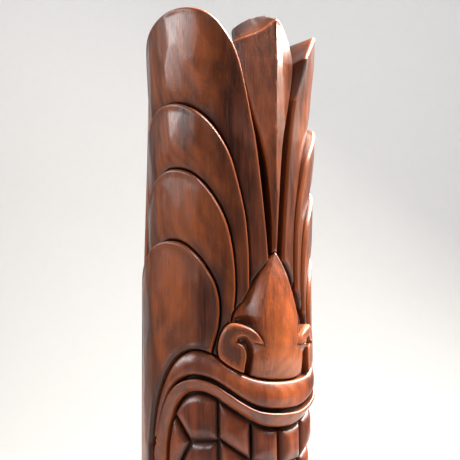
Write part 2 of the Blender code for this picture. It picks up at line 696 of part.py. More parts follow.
def add_mouth():
    outer, inner = lip_loops()
    carve("upper_lip_outer", "lip_wood", outer, [], outer_lip_surface)
    carve("upper_lip_inner", "lip_wood", inner, [], inner_lip_surface)
    carve("lower_lip_inner", "lip_wood", closed(jaw(inner)), [], inner_lip_surface)
    carve("lower_lip_outer", "lip_wood", closed(jaw(outer)), [], outer_lip_surface)
    carve("chin", "face_wood", chin_loop(), [moved(mouth_outline(), V_CUT)], chin_surface)
    upper_lip = beyond_teeth()
    lower_lip = closed(jaw(upper_lip))
    rows = (
        ("upper", UPPER_TEETH, upper_lip, TOOTH_CROWN),
        ("lower", LOWER_TEETH, lower_lip, TOOTH_CROWN - LOWER_TOOTH_SINK),
    )
    for row, teeth, lip, crown in rows:
        for number, tooth in enumerate(teeth, start=1):
            for side, sign in (("left", -1), ("right", 1)):
                loop = side_of(closed(corners(*tooth, tooth[0])), sign)
                name = f"{row}_tooth_{side}_{number}"
                carve(name, "tooth_wood", loop, [side_of(lip, sign)], tooth_surface(crown), step=TOOTH_STEP)


def add_foot_and_heart():
    lathe(
        "foot_drum",
        (
            (0, 0), (FOOT_RADIUS - FOOT_CHAMFER, 0), (FOOT_RADIUS, FOOT_CHAMFER),
            (FOOT_RADIUS, FOOT_TOP - FOOT_CHAMFER), (FOOT_RADIUS - FOOT_CHAMFER, FOOT_TOP), (0, FOOT_TOP),
        ),
        FOOT_SIDES,
        "headdress_wood",
    )
    heights = np.concatenate([[BODY_BOTTOM], np.linspace(CORE_STEP_BOTTOM, CORE_STEP_TOP, 9), [CORE_TOP]])
    rings = [(float(core_radius(h)), float(h)) for h in heights]
    dome = [(CORE_CREST_RADIUS * 0.75, CORE_TOP + CORE_DOME * 0.7)]
    lathe("log_heart", [(0, BODY_BOTTOM), *rings, *dome, (0, CORE_TOP + CORE_DOME)], CORE_SIDES, "heart_wood")


def back_loop():
    low, high = PLUME_BACK + 0.6, 360 - PLUME_BACK - 0.6
    top = curve(((high, 488), (210, 484), (180, BACK_TOP), (150, 484), (low, 488)))
    sides = corners((low, 488), (low, BODY_BOTTOM), (high, BODY_BOTTOM), (high, 488))
    return closed(top, sides[1:-1])


def add_back():
    back = back_loop()
    carve("back_slab", "headdress_wood", back, [], back_surface, end_rise=plume_top_fall, step=BACK_STEP)


def add_material(name, colour, roughness):
    material = bpy.data.materials.new(name)
    material.use_nodes = True
    shader = material.node_tree.nodes["Principled BSDF"]
    shader.inputs["Base Color"].default_value = colour
    shader.inputs["Roughness"].default_value = roughness


def main():
    for obj in list(bpy.data.objects):
        bpy.data.objects.remove(obj)
    collection = bpy.data.collections.new("tiki_figure")
    bpy.context.scene.collection.children.link(collection)
    for name, (colour, roughness) in MATERIALS.items():
        add_material(name, colour, roughness)
    add_foot_and_heart()
    add_back()
    add_headdress()
    add_nose()
    add_mouth()


main()
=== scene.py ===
"""The looks of the carved tiki: every CAD node again as a finely carved, stained and lacquered piece of wood.

The outlines are those of the CAD model, drawn on the unrolled bark of the log (turn from the front in
degrees, height in mm) and wrapped round it. Here they get round arrises, gouge facets, grain, staining with
painted shade in the cuts and hollows, and scuffed edges with a painted highlight.
"""

import math

import bpy
import numpy as np
from mathutils import Matrix, Vector
from mathutils.geometry import delaunay_2d_cdt


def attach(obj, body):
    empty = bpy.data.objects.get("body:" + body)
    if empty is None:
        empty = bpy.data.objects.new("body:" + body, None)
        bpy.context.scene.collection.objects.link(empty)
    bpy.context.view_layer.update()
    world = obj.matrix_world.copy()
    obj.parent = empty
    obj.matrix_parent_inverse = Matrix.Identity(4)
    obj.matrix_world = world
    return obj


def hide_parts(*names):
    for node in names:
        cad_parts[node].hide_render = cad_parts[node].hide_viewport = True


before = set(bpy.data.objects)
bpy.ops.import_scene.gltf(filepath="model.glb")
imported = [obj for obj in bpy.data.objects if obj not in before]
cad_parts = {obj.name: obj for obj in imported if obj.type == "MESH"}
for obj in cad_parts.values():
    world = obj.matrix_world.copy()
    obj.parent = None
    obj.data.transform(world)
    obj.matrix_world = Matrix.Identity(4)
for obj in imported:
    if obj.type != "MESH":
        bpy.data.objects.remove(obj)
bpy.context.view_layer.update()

MM = 0.001
LOG_RADIUS = 75.0
MM_PER_DEGREE = math.radians(1.0) * LOG_RADIUS

# How finely an element is cut: steps along outlines, along fine outlines and over the field (mm).
EDGE_STEP = 2.0
FINE_STEP = 1.4
FIELD_STEP = 2.4
SPLINE_SAMPLES = 16
# Height of a grid row in steps, and the share of its own distance that a row keeps from other edges.
GRID_ROW = 0.87
ROW_KEPT = 0.93
# Points nearer than these are one point: in a loop, and in the triangulation (mm).
SAME_POINT = 1e-6
WELD = 1e-4
# Keeps a length from being zero, and a sharp corner short when a loop is moved.
TINY = 1e-9
CORNER_LIMIT = 0.3
# Rounded edges, the cut between two elements, and how far outside the heart the walls end (mm).
ARRIS = 2.4
SCROLL_ARRIS = 3.6
V_CUT = 0.9
FLOOR_CLEARANCE = 0.9

SIDES = (("left", -1), ("right", 1))

FOOT_TOP = 36.0
FOOT_RADIUS = 75.0
FOOT_CHAMFER = 2.0
FOOT_CHAMFER_STEPS = 4
FOOT_SIDES = 192
FOOT_RINGS = (4, 33, 3)
FOOT_LEDGE = 8
BODY_BOTTOM = FOOT_TOP + 0.6

# Heart of the log: thick behind the mouth, slimmer behind the deep cuts of the headdress.
CORE_MOUTH_RADIUS = 59.5
CORE_CREST_RADIUS = 46.0
CORE_STEP_BOTTOM = 258.0
CORE_STEP_TOP = 340.0
CORE_TOP = 486.0
CORE_DOME = 8.0
CORE_SIDES = 180
CORE_RINGS = (45, 486, 6)
# Where the dome of the heart turns over: shares of its radius and of its height.
DOME_SHOULDER = (0.75, 0.7)

# Plumes: where their outlines end, and each one's radius at its top, lower down, round the flank and there
# at its top. The right-hand ones end a little lower.
PLUME_BACK = 120.0
PLUME_HIDDEN_END = 221.0
CHEEK_FRONT = 22.0
PLUME_FACES = (
    (76.8, 70.8, 69.8, 73.0), (75.2, 70.6, 70.4, 71.6), (72.0, 69.8, 70.8, 71.6),
    (70.0, 69.6, 76.0, 76.0),
)
RIGHT_DROPS = (6.0, 7.0, 9.0, 2.0)
RIGHT_DROP_START = 60
FLANK_TURNS = (60, 95)
PLUME_LEAN_START = 95.0
PLUME_LEAN_END = 10.0
GROOVE_DEPTH = 4.2
GROOVE_WIDTH = 6.5
PLUME_TOP_FALL = 10.0
PLUME_FALL_HEIGHTS = (440, 492)
# Radius down the middle of the back: (height, radius), mm.
BACK_RADII = ((60, 75.2), (290, 75.0), (400, 72.0), (500, 70.2))
BACK_EDGE = ((239.4, 488), (210, 484), (180, 482), (150, 484), (120.6, 488))

MOUTH_MIDDLE = 138.0
LOWER_JAW = 0.80
MOUTH_SIDE = 93.0
MOUTH_SIDE_TOP = 160.0
# The mouth is cut deeper away from the middle of the face, and rises again at its corners: turns, then mm.
MOUTH_SINK_TURNS = (26, 52)
MOUTH_CORNER_TURNS = (62, 90)
MOUTH_SINK_LEFT = 6.0
MOUTH_SINK_RIGHT = 9.2
MOUTH_CORNER_RISE = 2.6
LIP_CROWN = 76.8
# The outer cord rounds up over this share of its width, and sinks a little towards the cut below it.
OUTER_ROUND_SHARE = 0.6
OUTER_ROUND_DROP = 6.5
OUTER_EDGE_DROP = 1.2
OUTER_ARRIS = 1.8
# The inner cord starts a little prouder and rounds in towards the teeth.
INNER_RISE = 0.2
INNER_ROUND_DROP = 5.2
INNER_ROUND_POWER = 2.2
INNER_ARRIS = 1.2
# The dark cut between the two cords reaches this far above and below its line.
LIP_CUT_UP = 1.4
LIP_CUT_DOWN = 2.6
# The corner of the inner cord: its top, and how far above the middle of the mouth it ends.
INNER_SIDE_TOP = 153.0
INNER_JOINT = 0.5
INNER_EDGE_END = 1.5
TOOTH_PILLOW = 9.0
TOOTH_EDGE_DROP = 4.4
TOOTH_PILLOW_POWER = 2.6
TOOTH_LOWEST = 60.6
TOOTH_CROWN = 73.0
LOWER_TOOTH_SINK = 2.2

# Outlines: (turn from the front in degrees, height in mm), drawn for one side and mirrored for the other.
PLUME_EDGES = (
    (
        (5.0, 271), (5.5, 299), (6.9, 326), (9.7, 361), (13.5, 400), (17.3, 425), (22.4, 455),
        (27.6, 477), (33.9, 491.5), (40.8, 503), (50, 510.8), (61, 514.3), (76, 514.3), (93, 510.5),
        (108, 503), (PLUME_BACK, 493),
    ),
    (
        (19.5, 251), (19.4, 281), (19.6, 312), (21.7, 341), (26.8, 369), (32.6, 392), (42, 412),
        (52.5, 425.5), (64, 433), (76, 435.8), (87, 435), (97, 430.5), (108, 421), (PLUME_BACK, 408),
    ),
    (
        (31.7, 241), (30, 263), (28.7, 285), (30.3, 312), (34.5, 335), (42, 354), (51.5, 369),
        (62, 377.8), (74, 381), (84.5, 379.5), (96, 373), (108, 361.5), (PLUME_BACK, 348),
    ),
    (
        (48.8, 216), (44.6, 236), (41, 250), (39.7, 268), (42.3, 284.5), (48.3, 298), (56, 309.5),
        (65.5, 318.5), (75.5, 322), (85, 321.3), (95, 316), (108, 304.5), (PLUME_BACK, 290),
    ),
)
CREST_TIP = (5.4, 508)
CREST_LEFT = (
    CREST_TIP, (0.2, 503.2), (-6.4, 497.2), (-16.4, 492), (-23.8, 488.6), (-28.8, 484.4), (-26, 474),
    (-23.2, 463), (-20.6, 452), (-16.2, 431), (-10.4, 406), (-6.2, 385), (-4, 362), (-2.4, 335),
    (-1.8, 312), (-1.6, 300),
)
CREST_RIGHT = (
    CREST_TIP, (9.4, 507.6), (15.4, 504), (21.6, 496), (26.4, 487), (28.4, 478), (27, 467), (23.4, 454),
    (16, 431), (8.6, 406), (5.8, 385), (4, 362), (2.4, 335), (1.8, 312), (1.6, 300),
)
# The ridge of the crest: (height, turn), then (height, radius), and how steeply its flanks fall away.
RIDGE_FOOT = (313.5, 0)
RIDGE_TURNS = ((400, 0), (506, 4.8))
RIDGE_RADII = ((300, 68.5), (330, 70.5), (360, 72.0), (404, 73.0), (467, 70.5), (503, 67.5))
CREST_FLANK = 0.48
CREST_ARRIS = 0.85
# How much the end grain of the crest climbs towards the heart: (turn, mm).
CREST_RISE = (
    (-29, 14.5), (-18, 16), (-9, 16), (-1, 12), (5.4, 7.6), (10, 9.6), (15, 12.6), (21, 16.5), (28, 20),
)
CREST_RISE_HEIGHTS = (462, 479)
SPADE_SIDE = (
    (0, 312), (4, 305.8), (8.4, 299.3), (13.3, 292.4), (17.2, 285.4), (20.7, 276.5), (23.6, 270.5),
    (27.6, 266), (30.4, 261.6), (31.4, 256),
)
NOSE_FACE_SIDE = (
    (0, 311), (3.4, 302.5), (6.8, 291), (9.8, 279.5), (12.2, 268.5), (13.2, 259), (12.6, 248),
    (11.4, 238.5),
)
NOSE_FACE_END = (24, 224)
NOSE_FOOT = (24, 205)
NOSE_SWELL = 0.010
NOSE_ARRIS = 1.45
# The ridge of the nose in profile: (height, distance ahead of the log's axis), mm.
NOSE_PROFILE = (
    (206, 70.5), (212, 73.5), (218, 76.0), (226, 77.8), (238, 78.8), (250, 78.4), (266, 76.8),
    (279, 75.4), (292, 73.6), (312, 69.0),
)
# Where the brows begin to slope back, and how steeply.
BROW_BOTTOM = 238.0
BROW_TOP = 256.0
BROW_SLOPE = 0.9
BROW_DEPTH = 12.0
NOSE_LOWEST = 62.0
# The brow ends in a scoop along this line, above the scroll.
SCOOP_EDGE = (
    (30.4, 258), (27, 260.3), (22.5, 261), (18.4, 259.4), (14.8, 255), (12.6, 246.5), (11.3, 237.5),
)
SCOOP_SLOPE = 1.3
SCOOP_DEPTH = 7.0
SCROLL_RIM = (
    (11.2, 236.8), (15, 244.8), (19.5, 250), (26, 253.4), (31, 254.2), (35, 252), (38.4, 246.8),
    (40.7, 238), (40.6, 230.5), (38.5, 224.5), (34, 219.2), (28.1, 215.3),
)
SCROLL_CROWN = ((11, 78.8), (16, 78.4), (20, 77.6), (28, 75.0), (41, 71.4))
# A scroll leaves the face of the nose within this distance of their joint.
SCROLL_BLEND = 7.0
SCROLL_HOLLOW_INNER = ((24.9, 213), (23.9, 221), (23, 227.5), (23.6, 233), (25.6, 237), (29.6, 239.6))
SCROLL_HOLLOW_OUTER = (
    (29.6, 239.6), (27.4, 243.4), (23.4, 244), (20, 239.6), (18.2, 232), (18.5, 223.5), (20.3, 208),
)
HOLLOW_ARRIS = 0.6
HOLLOW_SLOPE = 2.8
HOLLOW_DEPTH = 9.0
LIP_TOP = (
    (0, 209.1), (9, 209.6), (19, 212), (28, 216.5), (34.6, 221.4), (42, 227.7), (50.8, 232.2),
    (60, 233.3), (69, 229.4), (76, 221.2), (81.8, 209.6), (86.3, 196.2), (89.6, 182),
    (MOUTH_SIDE - 0.9, 163),
)
LIP_GROOVE = (
    (0, 186.2), (8, 186.7), (14.8, 188.2), (21.2, 191.7), (27.8, 197), (34.4, 202.8), (42.3, 208.7),
    (51.6, 212.3), (59.7, 213), (68.4, 210), (75.5, 203.3), (81.4, 191.7), (85.8, 177), (89, 163),
)
LIP_INNER_EDGE = (
    (0, 173), (9, 174), (17, 177.4), (25.5, 183.6), (34.4, 190.5), (42.2, 196.5), (50, 200.4),
    (57.6, 201.7), (65.4, 199.7), (71.8, 193.9), (77, 185.2), (81, 172.7), (83.7, 157),
    (84.3, MOUTH_MIDDLE),
)
CHIN_CROWN = 75.5
CHIN_FALL = 0.0025
CHIN_ARRIS = 3.0
CHIN_TOP = 96.0
CHIN_FLAT = 20
CHIN_SIDE = ((24, 62), (31, 50), (34, BODY_BOTTOM))
TOOTH_LIP_GAP = 2.6
# Corners round all that lies past the tips of the teeth.
BEYOND_TEETH = ((88, 133), (110, 133), (110, 260), (-6, 260))
TOOTH_TOP = 245.0
BITE = MOUTH_MIDDLE + 0.9
# The upper teeth of one side, from the middle out, tall enough to be cut off along the lip.
UPPER_TEETH = (
    ((0.85, 143.5), (18.7, 148), (18.7, TOOTH_TOP), (0.85, TOOTH_TOP)),
    ((20.4, 149.5), (40.4, 165), (40.4, TOOTH_TOP), (20.4, TOOTH_TOP)),
    (
        (42.2, 164), (62.8, 163.4), (66.6, 168.8), (75.2, 182.4), (86, 207), (86, TOOTH_TOP),
        (42.2, TOOTH_TOP),
    ),
    ((77.5, BITE), (92, BITE), (92, 188), (76.8, 180.6), (64.8, 161.2)),
)
# The lower teeth of one side, long enough to be cut off along the lower lip.
LOWER_TEETH = (
    ((0.85, 141.7), (0.85, 60), (18.7, 60), (18.7, 146.2)),
    ((20.4, 147.7), (20.4, 60), (40.4, 60), (40.4, 163.2)),
    (
        (42.2, 162.2), (42.2, 60), (86, 60), (86, 82), (75.2, 102), (63, 119.5), (75.6, MOUTH_MIDDLE),
        (62.4, 161.4),
    ),
    ((77.5, BITE - 1.8), (64.8, 119.5), (76.8, 104), (92, 98), (92, BITE - 1.8)),
)

ARRIS_ROWS = (0.35, 0.9, 1.6, 2.5)
CREASE_ROWS = (0.7, 1.6)
# Rows down a wall: how far down, how stained with painted shade, darker deeper in the cut, and how worn,
# with a painted highlight that fades down the wall.
WALL_ROWS = (
    (0.04, 0.294, 0.2886), (0.14, 0.404, 0.1197), (0.35, 0.635, 0.0127), (0.65, 0.965, 0.0001),
    (1.0, 1.0, 0.0),
)
# Tool marks fade in over these distances from an edge. An edge this near a seam is part of it (mm).
TOOLED_FROM = (1.0, 6.0)
SEAM_REACH = 0.3
# Slow unevenness of hand work, as two waves: depth, length round the log and length up it. Then how the
# second one leans, and how much deeper both lie (mm).
WAVES = ((0.16, 13.0, 29.0), (0.09, 7.3, 15.0))
WAVE_LEAN = 41.0
WAVE_SINK = 0.2
# Facets: cells before they repeat, where in its cell a facet's middle lies, and its reach in cells.
FACET_CELLS = 64
FACET_SPREAD = 0.8
FACET_MARGIN = 0.1
FACET_REACH = 0.75
# Gouge marks: width, length and depth in mm.
PLUME_FACETS = (17.0, 40.0, 0.75)
CREST_FACETS = (14.0, 60.0, 0.4)
FACE_FACETS = (12.0, 26.0, 0.35)
LIP_FACETS = (11.0, 14.0, 0.30)
TOOTH_FACETS = (10.0, 13.0, 0.35)

# How far from a proud edge the wear with its painted highlight reaches, and stain is kept off; how far from
# a cut the stain with its painted shade reaches, dense and as a wider shade (mm); and the share of that
# shade.
WEAR_AND_HIGHLIGHT_REACH = 1.3
PROUD_REACH = 2.0
STAIN_AND_SHADE_REACH = 1.1
SHADE_REACH = 6.0
SHADE_SHARE = 0.5
# Painted shade in the scoops, hollows and lobes of the scrolls, and the width of the staining with painted
# shade between teeth.
SCOOP_SHADE = 0.8
HOLLOW_SHADE = 0.95
LOBE_SHADE = 0.85
LOBE_DEPTHS = (0.8, 4.6)
LOBE_TURNS = (19.0, 24.0)
TOOTH_STAIN_AND_SHADE_REACH = 1.9

# Linear colours of the stained wood: light and dark fibres, warm wood for random warmth and for scuffed edges
# with their painted highlight, and lacquer roughness. It is one wood, painted lighter on the face as painted
# light and darker on the headdress as painted shade, the lips and teeth between.
WOODS = {
    # Painted shade: the headdress is coloured darker than the face.
    "headdress_wood": ((0.098, 0.022, 0.007, 1), (0.019, 0.004, 0.002, 1), (0.47, 0.112, 0.025, 1), 0.23),
    # Painted light: the face is coloured lighter than the headdress.
    "face_wood": ((0.315, 0.072, 0.017, 1), (0.105, 0.020, 0.006, 1), (0.58, 0.150, 0.036, 1), 0.26),
    "lip_wood": ((0.155, 0.031, 0.011, 1), (0.044, 0.008, 0.004, 1), (0.56, 0.140, 0.042, 1), 0.20),
    "tooth_wood": ((0.150, 0.028, 0.009, 1), (0.036, 0.006, 0.003, 1), (0.48, 0.110, 0.032, 1), 0.22),
    # The heart shows at the floors of the cuts and is coloured near-black there as painted shade.
    "heart_wood": ((0.040, 0.010, 0.006, 1), (0.016, 0.004, 0.003, 1), (0.10, 0.030, 0.012, 1), 0.40),
}
PORE_COLOUR = (0.030, 0.008, 0.005, 1)
# Colour of the staining with painted shade in the cuts.
STAIN_AND_SHADE_COLOUR = (0.020, 0.005, 0.003, 1)

# Noises in the wood: stretch, scale, detail, roughness. Then the values taken as none and as full.
DRIFT = (0.3, 26.0, 3.0, 0.55)
FIBRE = (0.035, 620.0, 4.0, 0.65)
STREAK = (0.06, 150.0, 3.0, 0.55)
PORES = (0.045, 2100.0, 1.0, 0.55)
BLOTCH = (0.7, 48.0, 4.0, 0.6)
TOOLING = (0.35, 85.0, 2.0, 0.55)
DRIFT_RANGE = (0.35, 0.70)
TONE_RANGE = (0.38, 0.63)
PORE_RANGE = (0.60, 0.72)
BLOTCH_RANGE = (0.52, 0.72)
# Growth rings: the pith beside the axis (m), rings per metre times 2 pi, and how a noise bends them.
PITH = (0.022, 0.035)
RING_DENSITY = 1900.0
RING_NOISE = (1.0, 14.0, 2.0, 0.55)
RING_BEND = 22.0
RING_RANGE = (-0.4, 1.0)
# Shares of the tone, and how much each layer covers.
STREAK_SHARE = 0.55
FIBRE_SHARE = 0.45
WARM_SHARE = 0.5
RING_COVER = 0.26
BLOTCH_COVER = 0.42
PORE_COVER = 0.7
# Layers painted over the wood: scuffed edges with a painted highlight, staining with painted shade in the
# cuts.
WEAR_AND_HIGHLIGHT_COVER = 0.55
STAIN_AND_SHADE_COVER = 0.85
# Roughness that fibres, pores and the stained cuts with their painted shade add.
FIBRE_ROUGHNESS = 0.16
PORE_ROUGHNESS = 0.18
CUT_ROUGHNESS = 0.25
# Relief: how strong, then the depths of the tooling and of the grain in metres.
BUMP_STRENGTH = 0.5
TOOLING_DEPTH = 0.0007
GRAIN_DEPTH = 0.00016
FIBRE_RELIEF = 0.6
LACQUER = {"Coat Weight": 0.25, "Coat Roughness": 0.2, "IOR": 1.42}

# The camera's side of the figure: 32 degrees round to the viewer's left of the face.
VIEW_TURN = math.radians(-32.0)
CAMERA_DISTANCE = 0.872
CAMERA_HEIGHT = 0.228
AIM_HEIGHT = 0.337
CAMERA_ROLL = math.radians(-0.5)
LENS = 79.4
SENSOR_WIDTH = 36.0

LIGHT_AIM = 0.32
# Soft boxes: name, turn from the camera, height, distance, width, tallness, watts, colour.
LIGHTS = (
    ("key_box", 86.0, 1.50, 0.85, 0.5, 0.5, 84.0, (1.0, 0.95, 0.87)),
    ("rim_box", 124.0, 1.42, 1.2, 0.8, 1.1, 120.0, (1.0, 0.92, 0.80)),
    ("left_box", -76.0, 0.88, 1.25, 1.2, 0.40, 17.0, (0.96, 0.98, 1.0)),
    ("top_box", 48.0, 1.40, 0.50, 0.25, 0.25, 12.0, (0.98, 0.96, 1.0)),
    ("front_fill", 10.0, 1.4, 2.2, 1.4, 1.0, 2.0, (1.0, 0.97, 0.96)),
)
# Lights on the backdrop: name, sideways, behind the figure, height, watts.
BACKDROP_LIGHTS = (("paper_left", -1.1, 0.9, 2.0, 22.0), ("paper_right", 1.1, 0.9, 2.0, 29.0))
# They aim at a share of their own offset and at a height, and are square and white.
PAPER_AIM = (0.1, 1.4)
PAPER_BOX = (1.0, 1.0)
WHITE = (1.0, 1.0, 1.0)
WORLD_COLOUR = (0.9, 0.93, 1.0, 1.0)
WORLD_STRENGTH = 0.06

# The paper: where its floor starts and its backdrop stands, the sweep between them, top and half width (m).
FLOOR_START = -0.8
BACKDROP_DEPTH = 2.4
SWEEP_RADIUS = 0.8
SWEEP_STEPS = 12
BACKDROP_TOP = 3.4
BACKDROP_HALF_WIDTH = 4.5
PAPER_SHADES = ((0.385, 0.385, 0.392, 1.0), (0.405, 0.405, 0.41, 1.0))
PAPER_NOISE = (1.0, 40.0, 3.0, 0.55)
PAPER_ROUGHNESS = 0.85


def catmull_rom(points, samples):
    """Smooth curve through the points, ends included."""
    points = np.asarray(points, float)
    padded = np.vstack([2 * points[0] - points[1], points, 2 * points[-1] - points[-2]])
    t = np.linspace(0.0, 1.0, samples, endpoint=False)[:, None]
    pieces = []
    for a, b, c, d in zip(padded, padded[1:], padded[2:], padded[3:]):
        bend = (2 * a - 5 * b + 4 * c - d) * t**2
        twist = (3 * b - a - 3 * c + d) * t**3
        pieces.append(0.5 * (2 * b + (c - a) * t + bend + twist))
    return np.vstack(pieces + [points[-1:]])


def resampled(line, step):
    """The open line again, in equal steps of about the given length."""
    lengths = np.hypot(*np.diff(line, axis=0).T)
    along = np.concatenate([[0.0], np.cumsum(lengths)])
    count = max(2, round(along[-1] / step) + 1)
    at = np.linspace(0.0, along[-1], count)
    return np.stack([np.interp(at, along, line[:, 0]), np.interp(at, along, line[:, 1])], 1)


def curve(points, step=EDGE_STEP):
    """A drawn (degrees, mm) curve as points on the unrolled bark, in mm."""
    smooth = catmull_rom(points, SPLINE_SAMPLES)
    smooth[:, 0] *= MM_PER_DEGREE
    return resampled(smooth, step)


def fine(points):
    """A drawn curve in fine steps."""
    return curve(points, FINE_STEP)


def corners(*points):
    """Straight stretches between (degrees, mm) corners, on the unrolled bark."""
    line = np.array(points, float)
    line[:, 0] *= MM_PER_DEGREE
    stretches = [resampled(line[i : i + 2], EDGE_STEP)[:-1] for i in range(len(line) - 1)]
    return np.vstack(stretches + [line[-1:]])


def closed(*lines):
    """One anticlockwise loop from lines laid end to end."""
    loop = np.vstack(lines)
    step = np.hypot(*(loop - np.roll(loop, 1, axis=0)).T)
    loop = loop[step > SAME_POINT]
    x, y = loop.T
    area = np.dot(x, np.roll(y, -1)) - np.dot(y, np.roll(x, -1))
    return loop if area > 0 else loop[::-1]


def mirrored(line):
    """The same line on the other side of the face, running back."""
    return line[::-1] * (-1.0, 1.0)


def jaw(line):
    """A line of the upper mouth folded down to the lower jaw."""
    return np.stack([line[:, 0], MOUTH_MIDDLE - LOWER_JAW * (line[:, 1] - MOUTH_MIDDLE)], 1)


def left_of(run):
    """Unit steps to the left of each run."""
    return np.stack([-run[:, 1], run[:, 0]], 1) / np.maximum(np.hypot(*run.T), TINY)[:, None]


def moved(loop, distance):
    """The loop pushed outwards by the distance, or inwards if it's negative."""
    before = loop - np.roll(loop, 1, axis=0)
    after = np.roll(loop, -1, axis=0) - loop
    tangent = before / np.hypot(*before.T)[:, None] + after / np.hypot(*after.T)[:, None]
    tangent /= np.maximum(np.hypot(*tangent.T), CORNER_LIMIT)[:, None]
    return loop + distance * np.stack([tangent[:, 1], -tangent[:, 0]], 1)


def distance_to(points, starts, ends):
    """How far each point is from the nearest of the stretches."""
    nearest = np.full(len(points), np.inf)
    for a, b in zip(starts, ends):
        run = b - a
        t = np.clip((points - a) @ run / max(run @ run, TINY**2), 0.0, 1.0)
        nearest = np.minimum(nearest, np.hypot(*(points - a - t[:, None] * run).T))
    return nearest


def off_line(points, line):
    """How far each point is from the open line."""
    return distance_to(points, line[:-1], line[1:])


def inside(points, starts, ends):
    """Whether each point is inside the region bounded by the stretches."""
    crossings = np.zeros(len(points), int)
    for (ax, ay), (bx, by) in zip(starts, ends):
        if ay == by:
            continue
        spans = (points[:, 1] >= min(ay, by)) & (points[:, 1] < max(ay, by))
        at = ax + (points[:, 1] - ay) * (bx - ax) / (by - ay)
        crossings += spans & (points[:, 0] < at)
    return crossings % 2 == 1


def triangulated(outline, cuts, points=(), creases=()):
    """Triangles of the outline less the cuts, through the points and along the crease lines."""
    coords, loops, edges = [], [], []
    for loop in (outline, *cuts):
        loops.append(list(range(len(coords), len(coords) + len(loop))))
        coords.extend(map(tuple, loop))
    for line in creases:
        edges.extend((len(coords) + i, len(coords) + i + 1) for i in range(len(line) - 1))
        coords.extend(map(tuple, line))
    coords.extend(map(tuple, points))
    flat, _, faces, _, _, owners = delaunay_2d_cdt(coords, edges, loops, 0, WELD, True)
    kept = [tuple(face) for face, owner in zip(faces, owners) if 0 in owner and len(owner) == 1]
    return np.array([tuple(p) for p in flat]), kept


def rim_of(faces):
    """Directed edges that have a face on one side only."""
    edges = {(f[i], f[(i + 1) % len(f)]) for f in faces for i in range(len(f))}
    return [(a, b) for a, b in edges if (b, a) not in edges]


def field_points(flat, faces, step, creases=()):
    """Points over the field of a region, with close rows along its edges and its creases."""
    rim = np.array(sorted(rim_of(faces)))
    starts, ends = flat[rim[:, 0]], flat[rim[:, 1]]
    inward = left_of(ends - starts)
    found = []
    for row in ARRIS_ROWS:
        points = (starts + ends) / 2 + row * inward
        found.append(points[distance_to(points, starts, ends) > ROW_KEPT * row])
    for line in creases:
        across = left_of(np.gradient(line, axis=0))
        for row in CREASE_ROWS:
            points = np.vstack([line + row * across, line - row * across])
            points = points[inside(points, starts, ends)]
            found.append(points[distance_to(points, starts, ends) > ARRIS_ROWS[0]])
    low, high = starts.min(0), starts.max(0)
    columns = np.arange(low[0] + step / 2, high[0], step)
    rows = np.arange(low[1] + step / 2, high[1], step * GRID_ROW)
    grid = np.array([(x + (j % 2) * step / 2, y) for j, y in enumerate(rows) for x in columns])
    if len(grid):
        grid = grid[inside(grid, starts, ends)]
        found.append(grid[distance_to(grid, starts, ends) > ARRIS_ROWS[-1] + 0.5 * step])
    return np.vstack(found)


def rounded(distance, width):
    """Drop of a quarter-round arris of the given width."""
    short = np.clip(width - distance, 0.0, width)
    return width - np.sqrt(width**2 - short**2)


def smooth_step(low, high, x):
    """0 up to low, 1 from high on, smooth between."""
    t = np.clip((x - low) / (high - low), 0.0, 1.0)
    return t * t * (3 - 2 * t)


def folded(degrees, height):
    """Unrolled points with the left half of the face laid over the right."""
    return np.stack([abs(degrees) * MM_PER_DEGREE, height], 1)


def core_radius(height):
    """Radius of the heart of the log at a height."""
    slim = smooth_step(CORE_STEP_BOTTOM, CORE_STEP_TOP, height)
    return CORE_MOUTH_RADIUS + (CORE_CREST_RADIUS - CORE_MOUTH_RADIUS) * slim


def on_log(flat, radius):
    """Unrolled points at their radii, wrapped round the log, in metres."""
    turn = flat[:, 0] / LOG_RADIUS
    return MM * np.stack([radius * np.sin(turn), -radius * np.cos(turn), flat[:, 1]], 1)


def gouge_facets(flat, width, length, amount, seed):
    """Depth of the scoops that a wide gouge leaves, with low ridges where they meet."""
    rng = np.random.default_rng(seed)
    shift = rng.random((FACET_CELLS, FACET_CELLS, 2)) * FACET_SPREAD + FACET_MARGIN
    at = flat / (width, length)
    cell = np.floor(at).astype(int)
    nearest = np.full(len(flat), np.inf)
    for i in (-1, 0, 1):
        for j in (-1, 0, 1):
            here = cell + (i, j)
            centre = here + shift[here[:, 0] % FACET_CELLS, here[:, 1] % FACET_CELLS]
            nearest = np.minimum(nearest, np.hypot(*(at - centre).T))
    return amount * (1 - np.minimum(nearest / FACET_REACH, 1.0) ** 2)


def waviness(flat, seed):
    """Slow unevenness of hand work, in mm. The seed shifts the waves."""
    u, v = flat.T
    (deep, round_log, up), (shallow, short_round, short_up) = WAVES
    first = np.sin(u / round_log + seed) * np.sin(v / up + 2.1 * seed)
    second = np.sin(u / short_round + 1.7 * seed + v / WAVE_LEAN) * np.sin(v / short_up - seed)
    return deep * first + shallow * second


def in_scene(name, data):
    """A new object in the scene."""
    thing = bpy.data.objects.new(name, data)
    bpy.context.scene.collection.objects.link(thing)
    return thing


def add_piece(name, slot, points, faces, cut, wear_and_highlight):
    """A smooth mesh with painted shade and highlight on staining and scuffs, standing for the CAD node of its
    name.
    """
    mesh = bpy.data.meshes.new(name)
    mesh.from_pydata([tuple(p) for p in points], [], faces)
    mesh.validate()
    mesh.shade_smooth()
    # Staining with painted shade, and scuffed edges with a painted highlight, go on the points for the
    # shader.
    for label, values in (("cut", cut), ("wear_and_highlight", wear_and_highlight)):
        attribute = mesh.attributes.new(label, "FLOAT", "POINT")
        attribute.data.foreach_set("value", np.asarray(values, np.float32))
    mesh.materials.append(bpy.data.materials["carved_" + slot])
    piece = in_scene(name + "_carving", mesh)
    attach(piece, "root")
    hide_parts(name)
    return piece


